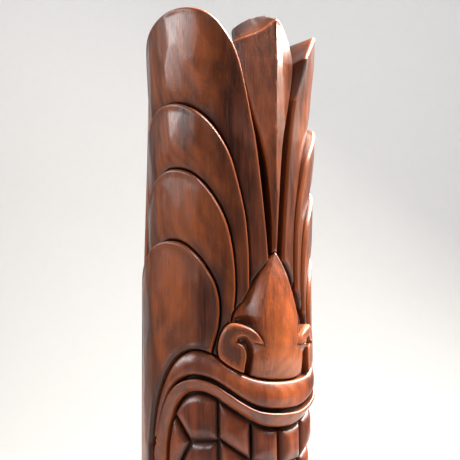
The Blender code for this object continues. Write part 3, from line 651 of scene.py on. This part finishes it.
def without_seams(flat, rim, seams):
    """The rim edges that aren't on a seam, where the wood runs on into its neighbour."""
    edges = np.array(rim)
    if not seams:
        return edges
    middles = (flat[edges[:, 0]] + flat[edges[:, 1]]) / 2
    starts, ends = np.array([seam[0] for seam in seams]), np.array([seam[1] for seam in seams])
    return edges[distance_to(middles, starts, ends) > SEAM_REACH]


def flat_mesh(outline, cuts, creases):
    """Flat points and faces of the outline less its cuts."""
    flat, faces = triangulated(outline, cuts)
    points = field_points(flat, faces, FIELD_STEP, creases)
    flat, faces = triangulated(outline, cuts, points, creases)
    used = sorted({i for face in faces for i in face})
    index = {old: new for new, old in enumerate(used)}
    return flat[used], [tuple(index[i] for i in face) for face in faces]


def tooled(radius, flat, depth, seed, facets):
    """The radius with gouge facets and slow unevenness, both calm near the edges."""
    calm = smooth_step(*TOOLED_FROM, depth)
    if facets is not None:
        width, length, amount = facets
        radius = radius - calm * gouge_facets(flat, width, length, amount, seed)
    return radius + calm * (waviness(flat, seed) - WAVE_SINK)


def stain_shade_wear_and_highlight(flat, depth, proud, worn_and_lit, stain_and_shade):
    """Staining with painted shade, most of all in the cuts, and scuffing with painted highlight along proud
    edges.
    """
    from_proud = depth if proud is None else off_line(flat, proud)
    # Proud edges get scuffing with a painted highlight; the cuts get staining with painted shade, kept off
    # those edges.
    wear_and_highlight = worn_and_lit * np.exp(-from_proud / WEAR_AND_HIGHLIGHT_REACH)
    cut = np.exp(-depth / STAIN_AND_SHADE_REACH) + SHADE_SHARE * np.exp(-depth / SHADE_REACH)
    cut = cut * (1 - np.exp(-from_proud / PROUD_REACH))
    # Extra painted shade in the scoops, hollows and middles of the scrolls, and staining with painted shade
    # between teeth.
    if stain_and_shade is not None:
        cut = np.maximum(cut, stain_and_shade(flat, depth))
    return np.minimum(cut, 1.0), wear_and_highlight


def carve(
    name, slot, outline, cuts, surface, creases=(), end_rise=None, proud=None, seams=(), facets=None,
    worn_and_lit=1.0, stain_and_shade=None,
):
    """One carved element, from its tooled surface down its walls to the heart of the log.

    surface gives the radius at degrees, heights and distances from the edge. end_rise lifts the foot of the
    walls. proud is the only edge that is scuffed and lit by a painted highlight, if given. seams stay uncut.
    The last argument adds painted shade in the scoops and hollows of the nose and in the middle of the
    scrolls, and staining with painted shade between teeth.
    """
    flat, faces = flat_mesh(outline, cuts, creases)
    rim = sorted(rim_of(faces))
    ends = without_seams(flat, rim, seams)
    depth = distance_to(flat, flat[ends[:, 0]], flat[ends[:, 1]])
    degrees = flat[:, 0] / MM_PER_DEGREE
    seed = sum(map(ord, name)) % 97
    radius = tooled(surface(degrees, flat[:, 1], depth), flat, depth, seed, facets)
    top = on_log(flat, radius)
    cut, wear_and_highlight = stain_shade_wear_and_highlight(flat, depth, proud, worn_and_lit, stain_and_shade)

    on_rim = sorted({i for edge in rim for i in edge})
    row_of = {vertex: k for k, vertex in enumerate(on_rim)}
    rim_flat = flat[on_rim]
    floor_flat = rim_flat.copy()
    if end_rise is not None:
        floor_flat[:, 1] += end_rise(degrees[on_rim], rim_flat[:, 1])
    floor = on_log(floor_flat, core_radius(floor_flat[:, 1]) + FLOOR_CLEARANCE)
    lip = top[on_rim]
    blocks, stain_and_shade_down, wear_and_highlight_down = [top], [cut], [wear_and_highlight]
    rows = [{vertex: vertex for vertex in on_rim}]
    # Down each wall the painted shade darkens and the painted highlight of the scuffed edge fades.
    for share, stained, rubbed_and_lit in WALL_ROWS:
        start = sum(map(len, blocks))
        blocks.append(lip + share * (floor - lip))
        stain_and_shade_down.append(np.full(len(on_rim), stained))
        wear_and_highlight_down.append(np.full(len(on_rim), rubbed_and_lit * worn_and_lit))
        rows.append({vertex: start + row_of[vertex] for vertex in on_rim})
    walls = [(upper[a], lower[a], lower[b], upper[b]) for upper, lower in zip(rows, rows[1:]) for a, b in rim]
    points = np.vstack(blocks)
    add_piece(name, slot, points, faces + walls, np.concatenate(stain_and_shade_down), np.concatenate(wear_and_highlight_down))


def lathe(name, slot, profile, sides):
    """A body of revolution, every ring a (radius, height) of the profile, from axis to axis."""
    rings = np.array(profile[1:-1], float)
    turns = np.arange(sides) * 2 * math.pi / sides
    ring = np.stack([np.sin(turns), -np.cos(turns)], 1)
    points = [np.array([[0, 0, profile[0][1]]])]
    for radius, height in rings:
        points.append(np.column_stack([radius * ring, np.full(sides, height)]))
    points.append(np.array([[0, 0, profile[-1][1]]]))
    points = MM * np.vstack(points)
    last = len(points) - 1
    faces = []
    for k in range(sides):
        after = (k + 1) % sides
        faces.append((0, 1 + after, 1 + k))
        faces.append((last - sides + k, last - sides + after, last))
        for base in range(1, 1 + (len(rings) - 1) * sides, sides):
            faces.append((base + k, base + after, base + sides + after, base + sides + k))
    add_piece(name, slot, points, faces, np.zeros(len(points)), np.zeros(len(points)))


def plume_edge(level, sign):
    """The drawn edge of a plume on the left (-1) or right (1) side."""
    edge = curve(PLUME_EDGES[level]) * (sign, 1.0)
    if sign > 0:
        top = edge[:, 1].max()
        edge[:, 1] -= RIGHT_DROPS[level] * smooth_step(top - RIGHT_DROP_START, top, edge[:, 1])
    return edge


def plume_loop(level, sign):
    """Whole outline of a headdress plume, as if nothing lay over it."""
    points = PLUME_EDGES[level]
    lowest = level == len(PLUME_EDGES) - 1
    bottom = BODY_BOTTOM if lowest else PLUME_HIDDEN_END - level
    turn, height = points[0]
    front = CHEEK_FRONT if lowest else turn
    side = corners((PLUME_BACK, points[-1][1]), (PLUME_BACK, bottom), (front, bottom), (turn, height))
    return closed(plume_edge(level, sign), side[1:-1] * (sign, 1.0))


def plume_surface(level, sign):
    """A plume leans out towards its top and sinks beside the plume that lies over it."""
    crown, foot, flank, flank_crown = PLUME_FACES[level]
    top = max(height for _, height in PLUME_EDGES[level])
    over = plume_edge(level + 1, sign) if level + 1 < len(PLUME_EDGES) else None

    def surface(degrees, height, depth):
        lean = smooth_step(top - PLUME_LEAN_START, top - PLUME_LEAN_END, height)
        radius = foot + (crown - foot) * lean
        round_side = flank + (flank_crown - flank) * lean
        radius += (round_side - radius) * smooth_step(*FLANK_TURNS, abs(degrees))
        if over is not None:
            flat = np.stack([degrees * MM_PER_DEGREE, height], 1)
            radius -= GROOVE_DEPTH * np.exp(-off_line(flat, over) / GROOVE_WIDTH)
        return radius - rounded(depth, ARRIS)

    return surface


def plume_top_fall(degrees, height):
    """The end grain of the tallest plumes falls away towards the heart."""
    return -PLUME_TOP_FALL * smooth_step(*PLUME_FALL_HEIGHTS, height)


def crest_top_rise(degrees, height):
    """The end grain of the crest climbs behind its edge, more so at its sides."""
    return np.interp(degrees, *zip(*CREST_RISE)) * smooth_step(*CREST_RISE_HEIGHTS, height)


def crest_surface(degrees, height, depth):
    """Two flat flanks that meet in a sharp ridge."""
    turn = np.radians(abs(degrees - np.interp(height, *zip(*RIDGE_TURNS))))
    ridge = np.interp(height, *zip(*RIDGE_RADII))
    flank = ridge / (np.cos(turn) + CREST_FLANK * np.sin(turn))
    return flank - rounded(depth, CREST_ARRIS)


def sloped_down(flat, loop, edge, slope, deepest):
    """How far a slope that starts at an edge has sunk, inside a loop."""
    sunk = np.minimum(slope * off_line(flat, edge), deepest)
    return np.where(inside(flat, loop, np.roll(loop, -1, axis=0)), sunk, 0.0)


def scoop_sunk(flat):
    """How deep the scoop above a scroll is."""
    return sloped_down(flat, scoop_loop(), fine(SCOOP_EDGE), SCOOP_SLOPE, SCOOP_DEPTH)


def hollow_sunk(flat):
    """How deep the hollow of a scroll is."""
    return sloped_down(flat, hollow_loop(), fine(SCROLL_HOLLOW_OUTER), HOLLOW_SLOPE, HOLLOW_DEPTH)


def nose_surface(degrees, height, depth):
    """A swelling front with an arris each side, brows that slope back, and scoops by the scrolls."""
    front = np.interp(height, *zip(*NOSE_PROFILE))
    face_turns, face_heights = np.array((*NOSE_FACE_SIDE, NOSE_FACE_END)).T
    face_turn = np.interp(-height, -face_heights, face_turns)
    turn = np.radians(abs(degrees))
    arris = np.radians(face_turn)
    across = front * np.tan(np.minimum(turn, arris))
    ahead = front - NOSE_SWELL * across**2
    radius = ahead / np.cos(np.minimum(turn, arris))
    past_arris = np.maximum(turn - arris, 0.0) * LOG_RADIUS
    sunk = np.minimum(BROW_SLOPE * past_arris, BROW_DEPTH)
    radius -= sunk * smooth_step(BROW_BOTTOM, BROW_TOP, height)
    flat = folded(degrees, height)
    radius -= scoop_sunk(flat)
    radius -= hollow_sunk(flat)
    return np.maximum(radius, NOSE_LOWEST) - rounded(depth, NOSE_ARRIS)


def scroll_joint():
    """The seam where the right-hand scroll grows out of the face of the nose."""
    return corners(SCROLL_HOLLOW_OUTER[3], SCROLL_RIM[0])


def nostril_surface(degrees, height, depth):
    """A scroll that grows out of the face of the nose and falls away towards the cheek."""
    flat = folded(degrees, height)
    joint = scroll_joint()
    away = smooth_step(0.0, SCROLL_BLEND, distance_to(flat, joint[:1], joint[1:]))
    rim = fine(SCROLL_RIM)
    crown = np.interp(abs(degrees), *zip(*SCROLL_CROWN))
    crown -= rounded(off_line(flat, rim), SCROLL_ARRIS) + rounded(depth, HOLLOW_ARRIS)
    return (1 - away) * nose_surface(degrees, height, np.full(len(flat), FIELD_STEP)) + away * crown


def mouth_crown(degrees, middle):
    """The mouth is cut deeper away from the middle of the face, and rises again at its corners."""
    turn = abs(degrees)
    deep = np.where(degrees > 0, MOUTH_SINK_RIGHT, MOUTH_SINK_LEFT)
    sunk = deep * smooth_step(*MOUTH_SINK_TURNS, turn)
    return middle - sunk + MOUTH_CORNER_RISE * smooth_step(*MOUTH_CORNER_TURNS, turn)


def upper_height(height):
    """Heights below the middle of the mouth as the heights above it that they mirror."""
    return np.where(height < MOUTH_MIDDLE, MOUTH_MIDDLE + (MOUTH_MIDDLE - height) / LOWER_JAW, height)


def between(degrees, height, upper, lower):
    """Distances to the upper and the lower edge of a lip."""
    flat = folded(degrees, upper_height(height))
    return off_line(flat, upper), off_line(flat, lower)


def outer_lip_surface(degrees, height, depth):
    """A full round top that runs out over a crisp lower edge."""
    over, under = between(degrees, height, curve(LIP_TOP), curve(LIP_GROOVE))
    share = over / (over + under)
    bend = 1 - np.minimum(share / OUTER_ROUND_SHARE, 1.0)
    radius = mouth_crown(degrees, LIP_CROWN) - OUTER_ROUND_DROP * (1 - np.sqrt(1 - bend**2))
    radius -= OUTER_EDGE_DROP * smooth_step(OUTER_ROUND_SHARE, 1.0, share)
    return radius - rounded(depth, OUTER_ARRIS)


def inner_lip_surface(degrees, height, depth):
    """A sharp upper edge over a face that rounds in towards the teeth."""
    over, under = between(degrees, height, curve(LIP_GROOVE) - (0, LIP_CUT_DOWN), curve(LIP_INNER_EDGE))
    share = over / (over + under)
    radius = mouth_crown(degrees, LIP_CROWN + INNER_RISE) - INNER_ROUND_DROP * share**INNER_ROUND_POWER
    return radius - rounded(depth, INNER_ARRIS)


def tooth_surface(crown):
    """A tooth is a soft pillow between its cuts, and stays clear of the heart."""

    def surface(degrees, height, depth):
        near_edge = 1 - np.minimum(depth, TOOTH_PILLOW) / TOOTH_PILLOW
        pillow = mouth_crown(degrees, crown) - TOOTH_EDGE_DROP * near_edge**TOOTH_PILLOW_POWER
        return np.maximum(pillow, TOOTH_LOWEST)

    return surface


def chin_surface(degrees, height, depth):
    """A beard block, a little flatter than the log."""
    return CHIN_CROWN - CHIN_FALL * degrees**2 - rounded(depth, CHIN_ARRIS)


def back_surface(degrees, height, depth):
    """A plain round back that slims towards the top."""
    return np.interp(height, *zip(*BACK_RADII)) - rounded(depth, ARRIS)


def both_sides(half):
    """A closed loop from a half that starts and ends on the middle of the face."""
    return closed(mirrored(half), half)


def side_of(loop, sign):
    """The loop for the right side, or mirrored for the left."""
    return loop if sign > 0 else mirrored(loop)


def crest_loop():
    """Whole outline of the middle plume, up its left side and down its right."""
    return closed(curve(CREST_LEFT)[::-1], curve(CREST_RIGHT)[1:])


def mouth_outline():
    """Everything inside the outer edges of the lips."""
    upper = curve(LIP_TOP)
    low = MOUTH_MIDDLE - LOWER_JAW * (MOUTH_SIDE_TOP - MOUTH_MIDDLE)
    side = corners((MOUTH_SIDE, MOUTH_SIDE_TOP), (MOUTH_SIDE, low))
    lower = jaw(curve(LIP_TOP))[::-1]
    return both_sides(np.vstack([upper, side, lower]))


def mouth_cut():
    """The mouth with the cut round it."""
    return moved(mouth_outline(), V_CUT)


def nose_and_scrolls():
    """Everything between the headdress and the upper lip."""
    rim = fine(SCROLL_RIM)
    beyond_spade = rim[rim[:, 1].argmax() + 1 :]
    low = corners(NOSE_FOOT, (0, NOSE_FOOT[1]))
    return both_sides(np.vstack([curve(SPADE_SIDE), beyond_spade, low]))


def scroll_loop():
    """The rim of the scroll, up inside its hollow and back along the roof of the hollow."""
    roof = fine(SCROLL_HOLLOW_OUTER[:4])
    return closed(fine(SCROLL_RIM), fine(SCROLL_HOLLOW_INNER), roof[1:])


def hollow_loop():
    """The hollow that the scroll curls round."""
    return closed(fine(SCROLL_HOLLOW_OUTER), fine(SCROLL_HOLLOW_INNER)[:-1])


def scoop_loop():
    """The scoop between the end of the brow and the rim of the scroll."""
    rim = fine(SCROLL_RIM)
    return closed(fine(SCOOP_EDGE), rim[: rim[:, 1].argmax()])


def lip_loops():
    """Outlines of the two cords of the upper lip, with the dark cut between them."""
    top = curve(LIP_TOP)
    groove = curve(LIP_GROOVE)
    over = groove + (0.0, LIP_CUT_UP)
    under = groove - (0.0, LIP_CUT_DOWN)
    inner = curve(LIP_INNER_EDGE)
    outer_loop = both_sides(np.vstack([top, over[::-1]]))
    joint = MOUTH_MIDDLE + INNER_JOINT
    side = corners((MOUTH_SIDE, INNER_SIDE_TOP), (MOUTH_SIDE, joint))
    low = corners((LIP_INNER_EDGE[-1][0], joint))
    inner_low = inner[inner[:, 1] > MOUTH_MIDDLE + INNER_EDGE_END]
    inner_loop = both_sides(np.vstack([under, side, low, inner_low[::-1]]))
    return outer_loop, inner_loop


def chin_loop():
    """A beard block that widens from under the lower lip to the foot."""
    top = corners((0, CHIN_TOP), (CHIN_FLAT, CHIN_TOP))
    low = corners((CHIN_FLAT, BODY_BOTTOM), (0, BODY_BOTTOM))
    return both_sides(np.vstack([top, curve(CHIN_SIDE), low]))


def beyond_teeth():
    """All that lies past the tips of the right-hand upper teeth, which follow the inner lip."""
    edge = fine(LIP_INNER_EDGE)
    tips = edge - TOOTH_LIP_GAP * left_of(np.gradient(edge, axis=0))
    return closed(tips, corners(*BEYOND_TEETH))


def add_headdress():
    spade = moved(nose_and_scrolls(), V_CUT)
    chin = moved(chin_loop(), V_CUT)
    crest = crest_loop()
    ridge = np.array([(turn * MM_PER_DEGREE, height) for height, turn in (RIDGE_FOOT, *RIDGE_TURNS)])
    carve(
        "crest_plume", "headdress_wood", crest, [spade], crest_surface, [ridge], crest_top_rise,
        facets=CREST_FACETS,
    )
    for side, sign in SIDES:
        for level in range(len(PLUME_EDGES)):
            loop = plume_loop(level, sign)
            cuts = [spade, mouth_cut(), chin]
            if level == 0:
                cuts.append(moved(crest, V_CUT))
            if level + 1 < len(PLUME_EDGES):
                cuts.append(moved(plume_loop(level + 1, sign), V_CUT))
            carve(
                f"plume_{side}_{level + 1}", "headdress_wood", loop, cuts, plume_surface(level, sign),
                end_rise=plume_top_fall if level == 0 else None, proud=plume_edge(level, sign),
                facets=PLUME_FACETS,
            )


def hollow_shade(flat, depth):
    """Painted shade in the scoops and hollows round the scrolls, darker the deeper they go."""
    flat = np.stack([abs(flat[:, 0]), flat[:, 1]], 1)
    scoop = SCOOP_SHADE * np.sqrt(scoop_sunk(flat) / SCOOP_DEPTH)
    hollow = HOLLOW_SHADE * np.sqrt(hollow_sunk(flat) / HOLLOW_DEPTH)
    return np.maximum(scoop, hollow)


def lobe_shade(flat, depth):
    """Painted shade: the middle of a scroll is darker than its rim."""
    outward = smooth_step(*LOBE_TURNS, abs(flat[:, 0]) / MM_PER_DEGREE)
    return LOBE_SHADE * smooth_step(*LOBE_DEPTHS, depth) * outward


def tooth_stain_and_shade(flat, depth):
    """Staining and painted shade darken the grooves between the teeth."""
    return np.exp(-((depth / TOOTH_STAIN_AND_SHADE_REACH) ** 2))


def add_nose():
    seam = scroll_joint()
    cuts = [*(side_of(scroll_loop(), sign) for sign in (-1, 1)), mouth_cut()]
    creases = []
    for points in (NOSE_FACE_SIDE, SCOOP_EDGE, SCROLL_HOLLOW_OUTER):
        line = fine(points)[1:-1]
        creases += [line, mirrored(line)]
    seams = [seam, mirrored(seam)]
    carve(
        "nose", "face_wood", nose_and_scrolls(), cuts, nose_surface, creases,
        seams=seams, facets=FACE_FACETS, worn_and_lit=0.2, stain_and_shade=hollow_shade,
    )
    for side, sign in SIDES:
        loop = side_of(scroll_loop(), sign)
        carve(
            f"nostril_{side}", "face_wood", loop, [mouth_cut()], nostril_surface,
            seams=seams, stain_and_shade=lobe_shade,
        )


def add_mouth():
    outer, inner = lip_loops()
    for name, loop, surface, worn_and_lit in (
        ("upper_lip_outer", outer, outer_lip_surface, 0.3),
        ("upper_lip_inner", inner, inner_lip_surface, 0.6),
        ("lower_lip_inner", closed(jaw(inner)), inner_lip_surface, 0.6),
        ("lower_lip_outer", closed(jaw(outer)), outer_lip_surface, 0.3),
    ):
        carve(name, "lip_wood", loop, [], surface, facets=LIP_FACETS, worn_and_lit=worn_and_lit)
    carve("chin", "face_wood", chin_loop(), [mouth_cut()], chin_surface, facets=FACE_FACETS)
    upper_lip = beyond_teeth()
    lower_lip = closed(jaw(upper_lip))
    rows = (
        ("upper", UPPER_TEETH, upper_lip, TOOTH_CROWN),
        ("lower", LOWER_TEETH, lower_lip, TOOTH_CROWN - LOWER_TOOTH_SINK),
    )
    for row, teeth, lip, crown in rows:
        for number, tooth in enumerate(teeth, start=1):
            for side, sign in SIDES:
                loop = side_of(closed(corners(*tooth, tooth[0])), sign)
                name = f"{row}_tooth_{side}_{number}"
                carve(
                    name, "tooth_wood", loop, [side_of(lip, sign)], tooth_surface(crown),
                    facets=TOOTH_FACETS, worn_and_lit=0.1, stain_and_shade=tooth_stain_and_shade,
                )


def foot_edge(height, outward):
    """The rounded edge of the foot, from its flat end up to its side, or back."""
    ring = []
    for k in range(FOOT_CHAMFER_STEPS + 1):
        t = math.radians(90 / FOOT_CHAMFER_STEPS * k)
        radius = FOOT_RADIUS - FOOT_CHAMFER * (1 - math.sin(t))
        ring.append((radius, height + FOOT_CHAMFER * (1 - math.cos(t))))
    return ring if outward else [(r, 2 * height - h) for r, h in reversed(ring)]


def add_foot_and_heart():
    shaft = [(FOOT_RADIUS, float(h)) for h in range(*FOOT_RINGS)]
    edge = foot_edge(0.0, True)
    rim = foot_edge(FOOT_TOP, False)
    drum = [(0, 0), *edge, *shaft, *rim, (FOOT_RADIUS - FOOT_LEDGE, FOOT_TOP), (0, FOOT_TOP)]
    lathe("foot_drum", "headdress_wood", drum, FOOT_SIDES)
    heights = [BODY_BOTTOM, *range(*CORE_RINGS), CORE_TOP]
    rings = [(float(core_radius(h)), float(h)) for h in heights]
    inward, upward = DOME_SHOULDER
    shoulder = (CORE_CREST_RADIUS * inward, CORE_TOP + CORE_DOME * upward)
    top = CORE_TOP + CORE_DOME
    # The near-black heart stands as painted shade at the floors of the cuts.
    lathe("log_heart", "heart_wood", [(0, BODY_BOTTOM), *rings, shoulder, (0, top)], CORE_SIDES)


def back_loop():
    """The back between the plumes of both sides, a little lower in its middle."""
    left, right = BACK_EDGE[0], BACK_EDGE[-1]
    sides = corners(right, (right[0], BODY_BOTTOM), (left[0], BODY_BOTTOM), left)
    return closed(curve(BACK_EDGE), sides[1:-1])


def add_back():
    carve(
        "back_slab", "headdress_wood", back_loop(), [], back_surface,
        end_rise=plume_top_fall, facets=PLUME_FACETS,
    )


class Nodes:
    """A short way to add and link shader nodes."""

    def __init__(self, material):
        material.use_nodes = True
        self.tree = material.node_tree
        self.shader = self.tree.nodes["Principled BSDF"]

    def feed(self, socket, value):
        """Link another node's socket, or set a plain value."""
        if isinstance(value, bpy.types.NodeSocket):
            self.tree.links.new(value, socket)
        else:
            socket.default_value = value

    def add(self, kind, inputs=None, **settings):
        node = self.tree.nodes.new(kind)
        for key, value in settings.items():
            setattr(node, key, value)
        for key, value in (inputs or {}).items():
            self.feed(node.inputs[key], value)
        return node

    def grain(self, vector, stretch, scale, detail, roughness):
        """Noise that is drawn out along the log."""
        values = {"Vector": vector, "Scale": (1.0, 1.0, stretch)}
        drawn_out = self.add("ShaderNodeMapping", values).outputs["Vector"]
        values = {"Vector": drawn_out, "Scale": scale, "Detail": detail, "Roughness": roughness}
        return self.add("ShaderNodeTexNoise", values).outputs["Fac"]

    def ramp(self, value, low, high):
        """0 below low, 1 above high, smooth between."""
        inputs = {"Value": value, "From Min": low, "From Max": high}
        return self.add("ShaderNodeMapRange", inputs, interpolation_type="SMOOTHSTEP").outputs["Result"]

    def mix(self, factor, first, second):
        """A mix of two colours. Their sockets go by number, as their names repeat."""
        inputs = {0: factor, 6: first, 7: second}
        return self.add("ShaderNodeMix", inputs, data_type="RGBA").outputs[2]

    def math(self, operation, first, second=0.0):
        return self.add("ShaderNodeMath", {0: first, 1: second}, operation=operation).outputs[0]

    def plus(self, first, second):
        return self.math("ADD", first, second)

    def times(self, first, second):
        return self.math("MULTIPLY", first, second)


def growth_rings(nodes, place):
    """Bent rings round the pith."""
    across = nodes.add("ShaderNodeSeparateXYZ", {"Vector": place}).outputs
    off_x = nodes.math("SUBTRACT", across["X"], PITH[0])
    off_y = nodes.math("SUBTRACT", across["Y"], PITH[1])
    far = nodes.math("SQRT", nodes.plus(nodes.times(off_x, off_x), nodes.times(off_y, off_y)))
    bent = nodes.grain(place, *RING_NOISE)
    ring_at = nodes.plus(nodes.times(far, RING_DENSITY), nodes.times(bent, RING_BEND))
    return nodes.ramp(nodes.math("SINE", ring_at), *RING_RANGE)


def wood_relief(nodes, place, fibre, pores):
    """Low tool marks with the grain on top of them."""
    tooling = nodes.grain(place, *TOOLING)
    values = {"Strength": BUMP_STRENGTH, "Distance": TOOLING_DEPTH, "Height": tooling}
    tool_marks = nodes.add("ShaderNodeBump", values).outputs[0]
    height = nodes.math("SUBTRACT", nodes.times(fibre, FIBRE_RELIEF), pores)
    values |= {"Distance": GRAIN_DEPTH, "Height": height, "Normal": tool_marks}
    return nodes.add("ShaderNodeBump", values).outputs[0]


def wood_material(name, light, dark, warm_and_highlight, gloss):
    """Stained, lacquered hardwood: fibres, colour drift, growth rings, pores, staining and painted shade in
    the cuts.
    """
    nodes = Nodes(bpy.data.materials.new(name))
    place = nodes.add("ShaderNodeTexCoord").outputs["Object"]
    drift = nodes.grain(place, *DRIFT)
    fibre = nodes.grain(place, *FIBRE)
    streak = nodes.grain(place, *STREAK)
    pores = nodes.ramp(nodes.grain(place, *PORES), *PORE_RANGE)
    blotch = nodes.ramp(nodes.grain(place, *BLOTCH), *BLOTCH_RANGE)
    wear_and_highlight = nodes.add("ShaderNodeAttribute", attribute_name="wear_and_highlight").outputs["Fac"]
    cut = nodes.add("ShaderNodeAttribute", attribute_name="cut").outputs["Fac"]

    tone = nodes.plus(nodes.times(streak, STREAK_SHARE), nodes.times(fibre, FIBRE_SHARE))
    colour = nodes.mix(nodes.ramp(tone, *TONE_RANGE), dark, light)
    colour = nodes.mix(nodes.ramp(drift, *DRIFT_RANGE), colour, nodes.mix(WARM_SHARE, colour, warm_and_highlight))
    # Rings, blotches and pores are the wood's own; over them go scuffed edges with a painted highlight in the
    # warm colour, and staining with painted shade in the cuts.
    for layer, cover, layer_colour in (
        (growth_rings(nodes, place), RING_COVER, dark),
        (blotch, BLOTCH_COVER, dark),
        (pores, PORE_COVER, PORE_COLOUR),
        (wear_and_highlight, WEAR_AND_HIGHLIGHT_COVER, warm_and_highlight),
        (cut, STAIN_AND_SHADE_COVER, STAIN_AND_SHADE_COLOUR),
    ):
        colour = nodes.mix(nodes.times(layer, cover), colour, layer_colour)
    nodes.feed(nodes.shader.inputs["Base Color"], colour)

    rough = nodes.plus(nodes.times(fibre, FIBRE_ROUGHNESS), gloss)
    rough = nodes.plus(rough, nodes.times(pores, PORE_ROUGHNESS))
    rough = nodes.plus(rough, nodes.times(cut, CUT_ROUGHNESS))
    nodes.feed(nodes.shader.inputs["Roughness"], rough)
    nodes.feed(nodes.shader.inputs["Normal"], wood_relief(nodes, place, fibre, pores))
    for setting, value in LACQUER.items():
        nodes.feed(nodes.shader.inputs[setting], value)


def add_materials():
    for name, (light, dark, warm_and_highlight, gloss) in WOODS.items():
        wood_material("carved_" + name, light, dark, warm_and_highlight, gloss)


def add_stage():
    """A pale floor that runs up into a pale backdrop."""
    material = bpy.data.materials.new("studio_paper")
    nodes = Nodes(material)
    place = nodes.add("ShaderNodeTexCoord").outputs["Object"]
    paper = nodes.mix(nodes.grain(place, *PAPER_NOISE), *PAPER_SHADES)
    nodes.feed(nodes.shader.inputs["Base Color"], paper)
    nodes.feed(nodes.shader.inputs["Roughness"], PAPER_ROUGHNESS)
    profile = [(FLOOR_START, 0.0), (BACKDROP_DEPTH - SWEEP_RADIUS, 0.0)]
    for k in range(1, SWEEP_STEPS + 1):
        turn = math.radians(90 * k / SWEEP_STEPS)
        depth = BACKDROP_DEPTH - SWEEP_RADIUS * (1 - math.sin(turn))
        profile.append((depth, SWEEP_RADIUS * (1 - math.cos(turn))))
    profile.append((BACKDROP_DEPTH, BACKDROP_TOP))
    aim = Matrix.Rotation(VIEW_TURN, 3, "Z")
    sides = (-BACKDROP_HALF_WIDTH, BACKDROP_HALF_WIDTH)
    points = [aim @ Vector((x, depth, height)) for depth, height in profile for x in sides]
    faces = [(2 * k, 2 * k + 1, 2 * k + 3, 2 * k + 2) for k in range(len(profile) - 1)]
    mesh = bpy.data.meshes.new("backdrop")
    mesh.from_pydata(points, [], faces)
    mesh.shade_smooth()
    mesh.materials.append(material)
    backdrop = in_scene("backdrop", mesh)


def add_soft_box(name, place, aim, width, tall, power, colour):
    data = bpy.data.lights.new(name, "AREA")
    data.shape = "RECTANGLE"
    data.size = width
    data.size_y = tall
    data.energy = power
    data.color = colour
    light = in_scene(name, data)
    light.location = place
    light.rotation_euler = (aim - place).to_track_quat("-Z", "Y").to_euler()


def add_lights():
    """Soft boxes at turns from the camera's side, and two that light the backdrop."""
    for name, turn, height, distance, width, tall, power, colour in LIGHTS:
        angle = VIEW_TURN + math.radians(turn)
        place = Vector((distance * math.sin(angle), -distance * math.cos(angle), height))
        add_soft_box(name, place, Vector((0, 0, LIGHT_AIM)), width, tall, power, colour)
    room = Matrix.Rotation(VIEW_TURN, 3, "Z")
    for name, sideways, behind, height, power in BACKDROP_LIGHTS:
        place = room @ Vector((sideways, behind, height))
        aim = room @ Vector((PAPER_AIM[0] * sideways, BACKDROP_DEPTH, PAPER_AIM[1]))
        add_soft_box(name, place, aim, *PAPER_BOX, power, WHITE)


def add_camera():
    """The camera stands a little under a metre away, below the middle of the figure, and looks up."""
    data = bpy.data.cameras.new("camera")
    data.sensor_width = SENSOR_WIDTH
    data.lens = LENS
    camera = in_scene("camera", data)
    ahead = Matrix.Rotation(VIEW_TURN, 3, "Z") @ Vector((0.0, -CAMERA_DISTANCE, 0.0))
    place = Vector((ahead.x, ahead.y, CAMERA_HEIGHT))
    camera.location = place
    aim = (Vector((0, 0, AIM_HEIGHT)) - place).to_track_quat("-Z", "Y")
    camera.rotation_euler = (aim @ Matrix.Rotation(CAMERA_ROLL, 3, "Z").to_quaternion()).to_euler()
    bpy.context.scene.camera = camera


def add_world():
    world = bpy.data.worlds.new("studio")
    world.use_nodes = True
    background = world.node_tree.nodes["Background"]
    background.inputs["Color"].default_value = WORLD_COLOUR
    background.inputs["Strength"].default_value = WORLD_STRENGTH
    bpy.context.scene.world = world
    bpy.context.scene.view_settings.view_transform = "Standard"
    bpy.context.scene.view_settings.look = "None"


def main():
    add_materials()
    add_foot_and_heart()
    add_back()
    add_headdress()
    add_nose()
    add_mouth()
    add_stage()
    add_camera()
    add_world()
    add_lights()


main()
